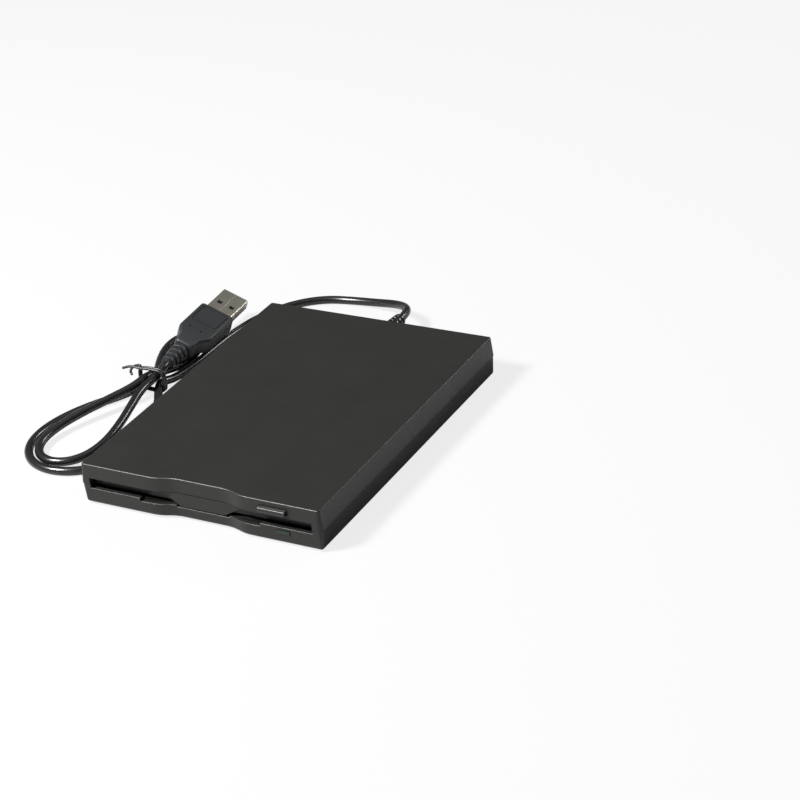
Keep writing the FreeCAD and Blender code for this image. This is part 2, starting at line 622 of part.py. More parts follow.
def arm_pivot_rod():
    """The short rod through the carriage's tower."""
    return rod_along_x(PIVOT_RADIUS, ARM_PIVOT_Y, ARM_LOW - 1.3, -4.8, 4.8)


def upper_head():
    """The upper head under the arm's tip."""
    return joined([centred_box(6.0, HEAD_Y - 3, HEAD_Y + 3, ARM_LOW - 0.3, ARM_LOW),
                   centred_box(2.6, HEAD_Y - 1.6, HEAD_Y + 1.6, ARM_LOW - 0.9, ARM_LOW - 0.3)])


def clamp_feet():
    """Ledges that stay in the chassis floor under the rods' front ends."""
    front = HOLDER_BACK + 1.0
    ledge = box(6.2, ROD_SPACING / 2 + 5, front, front + 1.8, 0, CHASSIS_TOP + 1)
    return Part.makeCompound(mirrored_pair(ledge))


def guide_rods():
    """Two rods that the carriage rides on."""
    low = HOLDER_BACK + 1.0
    high = BLOCK_FRONT + BLOCK_DEPTH + 2.4
    return [rod_along_y(ROD_RADIUS, side * ROD_SPACING / 2, ROD_HEIGHT, low, high) for side in (-1, 1)]


def rod_clamps():
    """A saddle over each end of each rod."""
    clamps = []
    front = HOLDER_BACK + 1.0
    back = BLOCK_FRONT + BLOCK_DEPTH + 1.0
    for side in (-1, 1):
        for low, high in ((front, front + 1.6), (back, back + 1.4)):
            x = side * ROD_SPACING / 2
            saddle = centred_box(4.6, low, high, CHASSIS_TOP, ROD_HEIGHT + ROD_RADIUS + 0.5, x)
            room = centred_box(2 * ROD_RADIUS, low - 1, high + 1, CHASSIS_TOP - 1, ROD_HEIGHT, x)
            clamps.append(saddle.cut(rod_along_y(ROD_RADIUS, x, ROD_HEIGHT, low - 1, high + 1)).cut(room))
    return clamps


def lead_screw():
    """The worm that moves the carriage, with a shallow thread groove."""
    low = HOLDER_BACK + 1.2
    body = rod_along_y(SCREW_RADIUS, SCREW_X, SCREW_HEIGHT, low, MOTOR_FRONT + 1.0)
    for index in range(6):
        y = low + 3.5 + index * 3.0
        ring = rod_along_y(SCREW_RADIUS + 1, SCREW_X, SCREW_HEIGHT, y, y + 0.5)
        body = body.cut(ring.cut(rod_along_y(SCREW_RADIUS - 0.25, SCREW_X, SCREW_HEIGHT, y - 1, y + 1)))
    return body


def screw_bracket():
    """The upright that holds the free end of the worm."""
    low = HOLDER_BACK + 1.0
    block = centred_box(6.4, low, low + 2.0, CHASSIS_TOP, SCREW_HEIGHT + 2.6, SCREW_X)
    return block.cut(rod_along_y(SCREW_RADIUS + RUNNING, SCREW_X, SCREW_HEIGHT, low - 1, low + 3))


def motor_bracket():
    """The plate that carries the stepper motor."""
    upright = centred_box(12.4, CHASSIS_BACK - 0.4, MOTOR_FRONT, CHASSIS_TOP, WALL_TOP - 0.6, SCREW_X)
    foot = box(SCREW_X - 6.2, SCREW_X + 4.2, CHASSIS_BACK - 5.0, CHASSIS_BACK - 0.4, CHASSIS_TOP, CHASSIS_TOP + 0.8)
    bracket = joined([upright, foot])
    return bracket.cut(rod_along_y(SCREW_RADIUS + 0.3, SCREW_X, SCREW_HEIGHT, CHASSIS_BACK - 2, MOTOR_FRONT + 1))


def stepper_motor():
    """The small can motor behind the mechanism."""
    can = rod_along_y(MOTOR_RADIUS, SCREW_X, SCREW_HEIGHT, MOTOR_FRONT, MOTOR_FRONT + MOTOR_LENGTH)
    return can.cut(rod_along_y(SCREW_RADIUS + 0.3, SCREW_X, SCREW_HEIGHT, MOTOR_FRONT - 1, MOTOR_FRONT + 1.5))


def main_board():
    """The drive's own board at the right behind the holder."""
    return box(16.0, 46.0, HOLDER_BACK + 3.0, CHASSIS_BACK - 1.0, CHASSIS_TOP, CHASSIS_TOP + 1.0)


def bridge_board():
    """The board that turns the drive's signals into the cable's."""
    return box(5.0, 41.5, CHASSIS_BACK + 1.4, BACK - WALL - 1.4, CHASSIS_LOW, CHASSIS_LOW + 1.0)


def chip(x, y, size, board_top):
    """A square chip with its rows of legs left as one skirt."""
    skirt = centred_box(size + 1.2, y - size / 2 + 0.3, y + size / 2 - 0.3, board_top, board_top + 0.3, x)
    body = centred_box(size, y - size / 2, y + size / 2, board_top, board_top + 1.2, x)
    return joined([skirt, body])


def circuit_chips():
    """The larger chips of both boards."""
    main_top = CHASSIS_TOP + 1.0
    bridge_top = CHASSIS_LOW + 1.0
    return [chip(24.0, HOLDER_BACK + 13.0, 9.0, main_top), chip(37.0, HOLDER_BACK + 12.0, 6.0, main_top),
            chip(22.0, CHASSIS_BACK + 4.6, 4.6, bridge_top)]


def cable_socket():
    """The small socket on the bridge board for the cable's inner end."""
    return box(6.0, 14.0, CHASSIS_BACK + 2.0, CHASSIS_BACK + 5.6, CHASSIS_LOW + 1.0, CHASSIS_LOW + 4.0)


def board_ribbon():
    """The flat ribbon from board to board, in two connectors."""
    main_top = CHASSIS_TOP + 1.0
    bridge_top = CHASSIS_LOW + 1.0
    near = box(29.0, 41.0, CHASSIS_BACK - 4.0, CHASSIS_BACK - 1.6, main_top, main_top + 1.2)
    far = box(29.0, 41.0, CHASSIS_BACK + 3.2, CHASSIS_BACK + 5.4, bridge_top, main_top + 1.2)
    strip = box(29.6, 40.4, CHASSIS_BACK - 3.0, CHASSIS_BACK + 4.6, main_top + 1.0, main_top + 1.2)
    return joined([near, far, strip])


def disk_switches():
    """Two little switches at the left that feel the disk."""
    switches = []
    for y in (HOLDER_BACK + 4.0, HOLDER_BACK + 11.0):
        body = box(-45.0, -41.0, y, y + 5.0, CHASSIS_TOP, CHASSIS_TOP + 3.0)
        knob = disc(0.8, -43.0, y + 2.5, CHASSIS_TOP + 3.0, CHASSIS_TOP + 4.0)
        switches.append(joined([body, knob]))
    return switches


def cable_boot():
    """The strain relief, tapered, with a flange inside the wall and grooves outside."""
    cone = Part.makeCone(BOOT_ROOT_RADIUS, BOOT_TIP_RADIUS, BOOT_LENGTH, V(0, BACK, BOOT_HEIGHT), V(0, 1, 0))
    for index in range(4):
        y = BACK + 4.0 + index * 3.0
        band = rod_along_y(6.0, 0, BOOT_HEIGHT, y, y + 1.1)
        cone = cone.cut(band.cut(rod_along_y(CABLE_RADIUS + 0.5, 0, BOOT_HEIGHT, y - 1, y + 2)))
    neck = rod_along_y(BOOT_ROOT_RADIUS - 0.6, 0, BOOT_HEIGHT, BACK - WALL - 1.0, BACK)
    flange = rod_along_y(BOOT_ROOT_RADIUS + 0.6, 0, BOOT_HEIGHT, BACK - WALL - 2.2, BACK - WALL - 1.0)
    return joined([cone, neck, flange])


def lead_points():
    """The cable from the boot's tip round the corner and along the left wall to the tie."""
    start = V(0, BACK + BOOT_LENGTH, BOOT_HEIGHT)
    route = [(0, 94.0, BOOT_HEIGHT), (-3.6, 101.0, 7.9), (-12.0, 106.6, 5.4), (-23.5, 109.4, 3.0),
             (-35.5, 110.2, LAY), (-47.0, 108.0, LAY), (-56.6, 101.4, LAY), (-63.6, 91.6, LAY),
             (-67.8, 79.6, LAY), (-70.0, 66.4, LAY), (-70.4, 53.0, LAY), (-70.2, 40.0, LAY)]
    return [start] + [V(*point) for point in route]


def teardrop(reach, half_width, bulge, far_point, count, mirror, rises, fade_share):
    """Points of one loop that leaves the tie, goes round its far end and comes back."""
    axis = (far_point - TIE_POINT).normalize()
    side = V(-axis.y, axis.x, 0) * mirror
    points = []
    for index in range(2, count - 1):
        turn = 2 * math.pi * index / count
        along = reach * math.sin(turn / 2) ** 2
        across = half_width / 0.7 * math.sin(turn) * math.sin(turn / 2) ** bulge
        rise = rises[0] if index < count / 2 else rises[1]
        fade = max(0.0, 1.0 - along / (fade_share * reach))
        points.append(TIE_POINT + axis * along + side * across + V(0, 0, LAY + rise * fade))
    return points


def hank_points():
    """The cable through the tie: the large loop, the bend under the plug and the small loop."""
    low = LAY + TIE_LIFT
    high = low + CABLE_DIAMETER + STRAND_GAP
    near = (CABLE_DIAMETER + STRAND_GAP) / 2
    points = [TIE_POINT + V(near + 1.4, 10.5, LAY), TIE_POINT + V(near, 4.5, low - 0.6), TIE_POINT + V(near, 0, low)]
    points += teardrop(LARGE_REACH, LARGE_HALF, LARGE_BULGE, LARGE_FAR, LOOP_POINTS, 1, (low - LAY, low - LAY), LARGE_FADE)
    points.append(TIE_POINT + V(-near, 0, low))
    points += teardrop(BEND_REACH, BEND_HALF, BEND_BULGE, BEND_FAR, LOOP_POINTS - 4, 1, (low - LAY, high - LAY), BEND_FADE)
    points.append(TIE_POINT + V(-near, 0, high))
    points += teardrop(SMALL_REACH, SMALL_HALF, SMALL_BULGE, SMALL_FAR, LOOP_POINTS, -1, (high - LAY, high - LAY),
                       SMALL_FADE)
    points += [TIE_POINT + V(near, 0, high), TIE_POINT + V(near + 0.1, 2.6, high + 0.55)]
    return points


def plug_direction():
    """Which way the plug points."""
    yaw = math.radians(PLUG_YAW)
    tilt = math.radians(PLUG_TILT)
    return V(-math.sin(yaw) * math.cos(tilt), math.cos(yaw) * math.cos(tilt), math.sin(tilt))


def lead_end():
    """Where the lead becomes the hank, half way along a run."""
    points = hank_points()
    return (points[0] + points[1]) * 0.5


def plug_entry():
    """The point before the plug's sleeve, in line with it."""
    return PLUG_START - plug_direction() * PLUG_LEAD_IN


def tail_start():
    """Where the hank becomes the tail, half way along a run."""
    return (hank_points()[-1] + plug_entry()) * 0.5


def placed_plug(shape):
    """Turn and move a piece of the plug from its own frame to where it lies."""
    placed = shape.copy()
    placed.rotate(V(0, 0, 0), V(0, 1, 0), PLUG_ROLL)
    placed.rotate(V(0, 0, 0), V(1, 0, 0), PLUG_TILT)
    placed.rotate(V(0, 0, 0), UP, PLUG_YAW)
    placed.translate(PLUG_START)
    return placed


def plug_overmould():
    """The plug's moulded body: a ribbed sleeve, a neck and a wide grip."""
    end = PLUG_RELIEF_LENGTH + PLUG_BODY_LENGTH
    sleeve = Part.makeCone(2.5, 3.4, PLUG_RELIEF_LENGTH + 0.5, V(0, 0, 0), V(0, 1, 0))
    for index in range(4):
        y = 1.6 + index * 3.0
        band = rod_along_y(6.0, 0, 0, y, y + 1.1)
        sleeve = sleeve.cut(band.cut(rod_along_y(CABLE_RADIUS + 0.4, 0, 0, y - 1, y + 2)))
    half = PLUG_BODY_WIDTH / 2
    start = PLUG_RELIEF_LENGTH
    outline = [(-4.6, start), (4.6, start), (4.6, start + 3.5), (half, start + 8.5), (half, end), (-half, end),
               (-half, start + 8.5), (-4.6, start + 3.5)]
    points = [V(x, y, -PLUG_BODY_THICKNESS / 2) for x, y in outline]
    grip = Part.Face(Part.makePolygon(points + points[:1])).extrude(V(0, 0, PLUG_BODY_THICKNESS))
    grip = grip.makeFillet(1.3, [e for e in grip.Edges if e.BoundBox.YMax < end - 1e-4 or e.BoundBox.YLength > 1])
    return placed_plug(joined([sleeve, grip]))


def plug_shell():
    """The plug's metal shell with two square windows above and below."""
    low = PLUG_RELIEF_LENGTH + PLUG_BODY_LENGTH
    high = low + SHELL_LENGTH
    half = SHELL_THICKNESS / 2
    outer = centred_box(SHELL_WIDTH, low, high, -half, half)
    outer = outer.makeFillet(0.5, [e for e in outer.Edges if e.BoundBox.YLength > 1])
    inner = centred_box(SHELL_WIDTH - 2 * SHELL_WALL, low - 1, high + 1, -half + SHELL_WALL, half - SHELL_WALL)
    shell = outer.cut(inner)
    for side in (-1, 1):
        shell = shell.cut(centred_box(2.2, low + 6.0, low + 8.2, -5, 5, side * 2.9))
    return placed_plug(shell)


def plug_tongue():
    """The white tongue inside the shell, against its upper wall's side."""
    low = PLUG_RELIEF_LENGTH + PLUG_BODY_LENGTH
    high = SHELL_THICKNESS / 2 - SHELL_WALL
    wide = SHELL_WIDTH - 2 * SHELL_WALL
    return placed_plug(centred_box(wide, low, low + SHELL_LENGTH - 0.8, high - 1.9, high))


def plug_contacts():
    """The four contacts on the tongue's free side."""
    low = PLUG_RELIEF_LENGTH + PLUG_BODY_LENGTH
    top = SHELL_THICKNESS / 2 - SHELL_WALL - 1.9
    return [placed_plug(centred_box(1.0, low + 3.0, low + 12.0, top - 0.12, top, x)) for x in (-3.5, -1.0, 1.0, 3.5)]


def tie_points():
    """The wire tie: a free end, two turns round the four runs, and a bent over end."""
    centre = TIE_POINT + V(0, 0.2, LAY + TIE_LIFT + (CABLE_DIAMETER + STRAND_GAP) / 2)
    left = TIE_LEFT
    right = TIE_RIGHT
    high = CABLE_DIAMETER + STRAND_GAP / 2 + TIE_WIRE_RADIUS + TIE_CLEARANCE
    corner = high * 0.93
    ring = [(-left * 0.9, corner), (0, high), (right * 0.9, corner), (right, 0), (right * 0.9, -corner),
            (0, -high), (-left * 0.9, -corner), (-left, 0)]
    step = V(0, TIE_PITCH, 0)
    free_end = (V(-13.4, -0.6, 3.9), V(-10.6, -0.2, 5.0), V(-8.0, 0, 5.2))
    points = [centre - step + place for place in free_end]
    for index in range(2 * len(ring) + 1):
        x, z = ring[index % len(ring)]
        points.append(centre - step + V(x, index * TIE_PITCH / len(ring), z))
    bent_end = (V(-8.4, 0.3, 4.3), V(-10.8, 0.6, 3.2), V(-12.2, -0.6, 1.4), V(-10.6, -1.4, 0.4))
    return points + [centre + step + place for place in bent_end]


def least_gap(first, second, skip):
    """The least free space between two tubes' surfaces, or within one past its next points."""
    best = 1e9
    for i, point in enumerate(first):
        for j in range(i + skip if first is second else 0, len(second)):
            best = min(best, point.distanceToPoint(second[j]))
    return best


def tube(points, radius):
    """A tube along straight runs joined by tangent arcs, with its tightest arc."""
    edges = []
    tightest = 1e9
    last = points[0]
    for index in range(1, len(points) - 1):
        before = points[index] - points[index - 1]
        after = points[index + 1] - points[index]
        shorter = min(before.Length, after.Length)
        turn = before.getAngle(after)
        back_off = 0.45 * shorter
        arc_radius = back_off / math.tan(turn / 2)
        tightest = min(tightest, arc_radius)
        start = points[index] - before.normalize() * back_off
        end = points[index] + after.normalize() * back_off
        bisector = (after - before).normalize()
        depth = arc_radius * (1 / math.cos(turn / 2) - 1)
        middle = points[index] + bisector * depth
        edges.append(Part.LineSegment(last, start).toShape())
        edges.append(Part.Arc(start, middle, end).toShape())
        last = end
    edges.append(Part.LineSegment(last, points[-1]).toShape())
    path = Part.Wire(edges)
    direction = points[1] - points[0]
    ring = Part.Wire(Part.Circle(points[0], direction, radius).toShape())
    shape = path.makePipeShell([ring], True, False)
    paths.append(path.discretize(Distance=1.0))
    section = math.pi * radius ** 2 * path.Length
    print("tube length", round(path.Length, 1), "tightest arc", round(tightest, 1),
          "volume over section", round(shape.Volume / section, 4))
    return shape


paths = []
os.makedirs("parts", exist_ok=True)
save("top_cover", top_cover())
save("bottom_cover", bottom_cover())
save("led_lens", lens_shape(0))
save("rubber_feet", rubber_feet())
save("case_screws", case_screws())
save("mechanism_screws", mechanism_screws())
save("eject_button", button_placed())
save("slot_flap", slot_flap())
save("chassis", chassis())
save("cartridge_holder", cartridge_holder())
save("eject_slider", eject_slider())
save("mechanism_cover", mechanism_cover())
save("shutter_lever", shutter_lever())
save("lever_rivet", lever_rivet())
save("motor_board", motor_board())
save("spindle_bearing", spindle_bearing())
save("stator_coils", stator_coils())
save("spindle_rotor", spindle_rotor())
save("drive_pin", drive_pin())
save("head_carriage", head_carriage())
save("lower_head", lower_head())
save("upper_head_arm", upper_head_arm())
save("arm_pivot_rod", arm_pivot_rod())
save("upper_head", upper_head())
save("guide_rods", guide_rods())
save("rod_clamps", rod_clamps())
save("lead_screw", lead_screw())
save("screw_bracket", screw_bracket())
save("motor_bracket", motor_bracket())
save("stepper_motor", stepper_motor())
save("main_board", main_board())
save("bridge_board", bridge_board())
save("circuit_chips", circuit_chips())
save("cable_socket", cable_socket())
save("board_ribbon", board_ribbon())
save("disk_switches", disk_switches())
save("cable_boot", cable_boot())
save("usb_cable_lead", tube(lead_points() + [hank_points()[0], lead_end()], CABLE_RADIUS))
save("usb_cable_hank", tube([lead_end()] + hank_points()[1:] + [tail_start()], CABLE_RADIUS))
save("usb_cable_tail", tube([tail_start(), plug_entry(), PLUG_START], CABLE_RADIUS))
save("twist_tie", tube(tie_points(), TIE_WIRE_RADIUS))
save("plug_overmould", plug_overmould())
save("plug_shell", plug_shell())
save("plug_tongue", plug_tongue())
save("plug_contacts", plug_contacts())
lead_path, hank_path, tail_path, tie_path = paths
print("least gap of the hank to itself", round(least_gap(hank_path, hank_path, 8) - CABLE_DIAMETER, 2))
print("hank to lead", round(least_gap(hank_path[8:], lead_path, 0) - CABLE_DIAMETER, 2))
print("hank to tail", round(least_gap(hank_path[:-8], tail_path, 0) - CABLE_DIAMETER, 2))
print("lead to tail", round(least_gap(lead_path, tail_path, 0) - CABLE_DIAMETER, 2))
print("tie to cable", round(least_gap(hank_path, tie_path, 0) - CABLE_RADIUS - TIE_WIRE_RADIUS, 2))
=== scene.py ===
"""Looks of a slim external disk drive: its finishes, tied cable, plug and studio, in metres."""

import logging
import math
from dataclasses import dataclass
from enum import Enum
from typing import Any, Iterable, Sequence

import bmesh
import bpy
from mathutils import Matrix, Vector


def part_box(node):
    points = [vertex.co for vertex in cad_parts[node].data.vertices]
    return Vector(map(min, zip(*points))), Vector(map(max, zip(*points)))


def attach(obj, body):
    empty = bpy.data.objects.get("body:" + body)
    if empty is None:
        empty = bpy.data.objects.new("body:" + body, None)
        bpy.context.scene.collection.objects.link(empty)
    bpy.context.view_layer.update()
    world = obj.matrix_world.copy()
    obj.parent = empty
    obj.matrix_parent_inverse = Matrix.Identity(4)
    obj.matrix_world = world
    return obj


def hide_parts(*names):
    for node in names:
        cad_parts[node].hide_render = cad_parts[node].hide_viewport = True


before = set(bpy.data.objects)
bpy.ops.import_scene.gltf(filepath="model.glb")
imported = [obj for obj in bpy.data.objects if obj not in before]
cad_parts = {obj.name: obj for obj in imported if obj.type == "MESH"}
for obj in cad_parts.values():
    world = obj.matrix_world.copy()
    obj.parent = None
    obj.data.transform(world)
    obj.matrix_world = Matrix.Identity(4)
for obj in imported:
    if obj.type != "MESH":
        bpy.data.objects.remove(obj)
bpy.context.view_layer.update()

logging.basicConfig(level=logging.INFO, format="%(message)s")
LOG = logging.getLogger("drive")
MM = 0.001
Colour = tuple[float, float, float, float]


def grey(level: float) -> Colour:
    """A neutral colour, linear, from 0 to 1."""
    return (level, level, level, 1.0)


class Axis(Enum):
    """The direction that brushing or streaks run along."""

    X = (1.0, 0.0, 0.0)
    Y = (0.0, 1.0, 0.0)


class Value:
    """A shader socket that Python arithmetic works on."""

    def __init__(self, graph: "Graph", socket: bpy.types.NodeSocket) -> None:
        """Wrap one output socket.

        Args:
            graph: The graph that new Math nodes go into.
            socket: The output that this value stands for.
        """
        self.graph = graph
        self.socket = socket

    def _math(self, operation: str, first: Any, second: Any) -> "Value":
        """Add one Math node.

        Args:
            operation: The node's operation.
            first: A value or a number.
            second: A value or a number.

        Returns:
            The node's result.
        """
        return self.graph.node("ShaderNodeMath", {"operation": operation}, {0: first, 1: second})

    def __add__(self, other: Any) -> "Value":
        """Sum."""
        return self._math("ADD", self, other)

    __radd__ = __add__

    def __rsub__(self, other: Any) -> "Value":
        """Difference, reflected."""
        return self._math("SUBTRACT", other, self)

    def __mul__(self, other: Any) -> "Value":
        """Product."""
        return self._math("MULTIPLY", self, other)

    __rmul__ = __mul__

    def above(self, level: float) -> "Value":
        """One where the value is over a level, and zero elsewhere."""
        return self._math("GREATER_THAN", self, level)

    def smooth(self, low: float, high: float) -> "Value":
        """The value eased from 0 at low to 1 at high."""
        settings = {"interpolation_type": "SMOOTHSTEP"}
        inputs = {"Value": self, "From Min": low, "From Max": high}
        return self.graph.node("ShaderNodeMapRange", settings, inputs)


class Graph:
    """One material's node tree."""

    def __init__(self, name: str) -> None:
        """Make the material with a Principled shader.

        Args:
            name: The material's name.
        """
        self.material = bpy.data.materials.new(name)
        self.material.use_nodes = True
        self.tree = self.material.node_tree
        self.shader = next(n for n in self.tree.nodes if n.type == "BSDF_PRINCIPLED")

    def node(self, kind: str, settings: dict[str, Any], inputs: dict[Any, Any], output: Any = 0) -> Value:
        """Add any node.

        Args:
            kind: The node's type.
            settings: Properties of the node, set first.
            inputs: Values or links for its sockets.
            output: Which output to return.

        Returns:
            The chosen output.
        """
        made = self.tree.nodes.new(kind)
        for key, setting in settings.items():
            setattr(made, key, setting)
        for key, value in inputs.items():
            self.feed(made.inputs[key], value)
        return Value(self, made.outputs[output])

    def feed(self, socket: bpy.types.NodeSocket, value: Any) -> None:
        """Link or set one input.

        Args:
            socket: The input.
            value: A value to link, or a number or colour to set.
        """
        if isinstance(value, Value):
            self.tree.links.new(value.socket, socket)
        else:
            socket.default_value = value

    def place(self, scale: Sequence[float] = (1.0, 1.0, 1.0)) -> Value:
        """Object coordinates for a pattern.

        Args:
            scale: The stretch of each axis.

        Returns:
            The coordinates.
        """
        raw = self.node("ShaderNodeTexCoord", {}, {}, "Object")
        return self.node("ShaderNodeMapping", {}, {"Vector": raw, "Scale": scale})

    def noise(self, vector: Value, scale: float, detail: float = 3.0, rough: float = 0.5) -> Value:
        """Smooth noise from 0 to 1.

        Args:
            vector: Coordinates.
            scale: Cells for each metre.
            detail: Octaves.
            rough: The strength of the finer octaves.

        Returns:
            The noise.
        """
        inputs = {"Vector": vector, "Scale": scale, "Detail": detail, "Roughness": rough}
        return self.node("ShaderNodeTexNoise", {}, inputs)

    def cells(self, vector: Value, scale: float, distance: str = "EUCLIDEAN") -> Value:
        """Distance to the nearest of randomly placed points.

        Args:
            vector: Coordinates.
            scale: Cells for each metre.
            distance: How the distance is measured.

        Returns:
            The distance, in cells.
        """
        settings = {"feature": "F1", "distance": distance}
        return self.node("ShaderNodeTexVoronoi", settings, {"Vector": vector, "Scale": scale}, "Distance")

    def wave(self, vector: Value, scale: float, direction: str, distortion: float = 0.0) -> Value:
        """Even bands.

        Args:
            vector: Coordinates.
            scale: The node's scale; a metre holds about 3.2 times as many bands.
            direction: The axis that the bands cross.
            distortion: How much the bands waver.

        Returns:
            The band's level, from 0 to 1.
        """
        settings = {"wave_type": "BANDS", "bands_direction": direction}
        inputs = {"Vector": vector, "Scale": scale, "Distortion": distortion}
        return self.node("ShaderNodeTexWave", settings, inputs, "Fac")

    def blend(self, factor: Value, first: Any, second: Any) -> Value:
        """Mix two colours.

        Args:
            factor: 0 for the first, 1 for the second.
            first: A colour or a link.
            second: A colour or a link.

        Returns:
            The mixed colour.
        """
        return self.node("ShaderNodeMix", {"data_type": "RGBA"}, {0: factor, 6: first, 7: second}, 2)

    def bump(self, height: Value, depth: float, strength: float) -> Value:
        """A normal that follows a height.

        Args:
            height: The height, from 0 to 1.
            depth: How deep 1 is, in metres.
            strength: How much of it shows.

        Returns:
            The normal.
        """
        return self.node("ShaderNodeBump", {}, {"Height": height, "Distance": depth, "Strength": strength})

    def finish(self, **sockets: Any) -> bpy.types.Material:
        """Set the Principled shader's sockets.

        Args:
            sockets: Socket names, with underscores for spaces, and their values or links.

        Returns:
            The material.
        """
        for name, value in sockets.items():
            self.feed(self.shader.inputs[name.replace("_", " ")], value)
        return self.material


class Finish:
    """Anything that can dress a piece."""

    name: str

    def material(self) -> bpy.types.Material:
        """The material, made once and used by every piece that has this finish."""
        known = bpy.data.materials.get(self.name)
        return known if known is not None else self.build(Graph(self.name))

    def build(self, graph: Graph) -> bpy.types.Material:
        """Fill the node tree."""
        raise NotImplementedError


@dataclass(frozen=True)
class MouldedPlastic(Finish):
    """Spark-eroded moulded plastic: a fine sand texture with faint mottle and handling marks."""

    name: str
    colour: Colour = (0.0088, 0.0087, 0.0082, 1.0)
    worn: Colour = (0.0215, 0.021, 0.0195, 1.0)
    rough: float = 0.3
    rough_spread: float = 0.08
    specular: float = 0.34
    grain: float = 3400.0
    grain_depth: float = 0.00004
    grain_strength: float = 0.3

    def build(self, graph: Graph) -> bpy.types.Material:
        """Mottled colour, sand grain and a few soft scuffs."""
        place = graph.place()
        mottle = graph.noise(place, 55.0, 4.0, 0.6)
        sand = graph.noise(place, self.grain, 2.0, 0.7)
        pits = graph.cells(place, self.grain * 0.62)
        drag = graph.place(scale=(30.0, 420.0, 30.0))
        scuffs = graph.noise(drag, 4.0, 5.0, 0.75).smooth(0.66, 0.86) * mottle
        tone = mottle * 0.35 + sand * 0.3 + scuffs * 0.5
        return graph.finish(
            Base_Color=graph.blend(tone, self.colour, self.worn),
            Roughness=mottle * self.rough_spread + sand * 0.08 + (self.rough - scuffs * 0.1),
            Specular_IOR_Level=self.specular,
            Normal=graph.bump(sand * 0.6 + pits * 0.5, self.grain_depth, self.grain_strength),
        )


@dataclass(frozen=True)
class Jacket(Finish):
    """The cable's smooth soft plastic, a little waxy, with dust and faint drawn lines."""

    name: str
    colour: Colour = (0.0065, 0.0065, 0.0070, 1.0)
    dust: Colour = (0.045, 0.044, 0.042, 1.0)
    rough: float = 0.2
    specular: float = 0.55
    ripple_depth: float = 0.00002

    def build(self, graph: Graph) -> bpy.types.Material:
        """Dark jacket with a broken gloss."""
        place = graph.place()
        cloud = graph.noise(place, 90.0, 4.0, 0.6)
        fine = graph.noise(place, 1900.0, 3.0, 0.6)
        specks = graph.cells(place, 1300.0).smooth(0.16, 0.04) * cloud.smooth(0.5, 0.75)
        ripple = graph.noise(place, 320.0, 2.0, 0.4)
        return graph.finish(
            Base_Color=graph.blend(specks * 0.35 + fine * 0.05, self.colour, self.dust),
            Roughness=cloud * 0.1 + fine * 0.03 + self.rough,
            Specular_IOR_Level=self.specular,
            Normal=graph.bump(ripple + fine * 0.2, self.ripple_depth, 0.35),
        )


@dataclass(frozen=True)
class SheetMetal(Finish):
    """Rolled or plated metal with drawn lines, spangle and small scratches."""

    name: str
    colour: Colour
    shade: Colour
    rough: float = 0.34
    brushed: Axis = Axis.Y
    line_depth: float = 0.000018
    scratch: float = 0.5

    def build(self, graph: Graph) -> bpy.types.Material:
        """Metal with lines along one axis."""
        along = Vector(self.brushed.value)
        stretch = tuple(12.0 if part else 600.0 for part in along)
        lines = graph.noise(graph.place(scale=stretch), 6.0, 4.0, 0.7)
        spangle = graph.cells(graph.place(), 260.0)
        cloud = graph.noise(graph.place(), 70.0, 3.0, 0.5)
        marks = graph.noise(graph.place(scale=(900.0, 240.0, 500.0)), 1.6, 6.0, 0.8).smooth(0.62, 0.72)
        tone = cloud * 0.45 + spangle * 0.25 + marks * self.scratch * 0.4
        return graph.finish(
            Base_Color=graph.blend(tone, self.colour, self.shade),
            Metallic=1.0,
            Roughness=lines * 0.16 + cloud * 0.1 + (self.rough - 0.1) + marks * 0.08,
            Normal=graph.bump(lines + marks * 0.5, self.line_depth, 0.6),
        )


@dataclass(frozen=True)
class CircuitLaminate(Finish):
    """A board's lacquer over copper tracks, with rows of tinned pads."""

    name: str
    lacquer: Colour = (0.008, 0.062, 0.026, 1.0)
    track: Colour = (0.020, 0.135, 0.052, 1.0)
    tin: Colour = (0.52, 0.52, 0.50, 1.0)

    def build(self, graph: Graph) -> bpy.types.Material:
        """Tracks from straight-walled cells, pads from a dot grid."""
        place = graph.place()
        cell = graph.cells(place, 420.0, "CHEBYCHEV")
        bands = graph.wave(place, 190.0, "X")
        tracks = bands.smooth(0.55, 0.62) * (1 - cell.smooth(0.42, 0.48))
        pads = graph.cells(place, 620.0).smooth(0.15, 0.1) * graph.noise(place, 160.0).above(0.54)
        weave = graph.wave(place, 900.0, "Y", 1.0)
        base = graph.blend(tracks, self.lacquer, self.track)
        return graph.finish(
            Base_Color=graph.blend(pads, base, self.tin),
            Metallic=pads * 0.9,
            Roughness=weave * 0.06 + tracks * 0.05 + 0.28,
            Normal=graph.bump(tracks + pads * 0.6 + weave * 0.1, 0.00004, 0.7),
        )


@dataclass(frozen=True)
class WoundWire(Finish):
    """Enamelled copper wire, wound close."""

    name: str
    colour: Colour = (0.62, 0.20, 0.07, 1.0)
    dark: Colour = (0.26, 0.07, 0.025, 1.0)

    def build(self, graph: Graph) -> bpy.types.Material:
        """Fine turns across the coil, with painted shade darkening the grooves between them."""
        turns = graph.wave(graph.place(), 1500.0, "DIAGONAL", 0.6)
        cloud = graph.noise(graph.place(), 300.0)
        return graph.finish(
            # Colour follows the turns' bump height: painted shade in the grooves between turns, with the
            # cloud adding random tone.
            Base_Color=graph.blend(turns * 0.6 + cloud * 0.3, self.dark, self.colour),
            Metallic=0.85,
            Roughness=cloud * 0.2 + 0.24,
            Normal=graph.bump(turns, 0.00006, 0.8),
        )


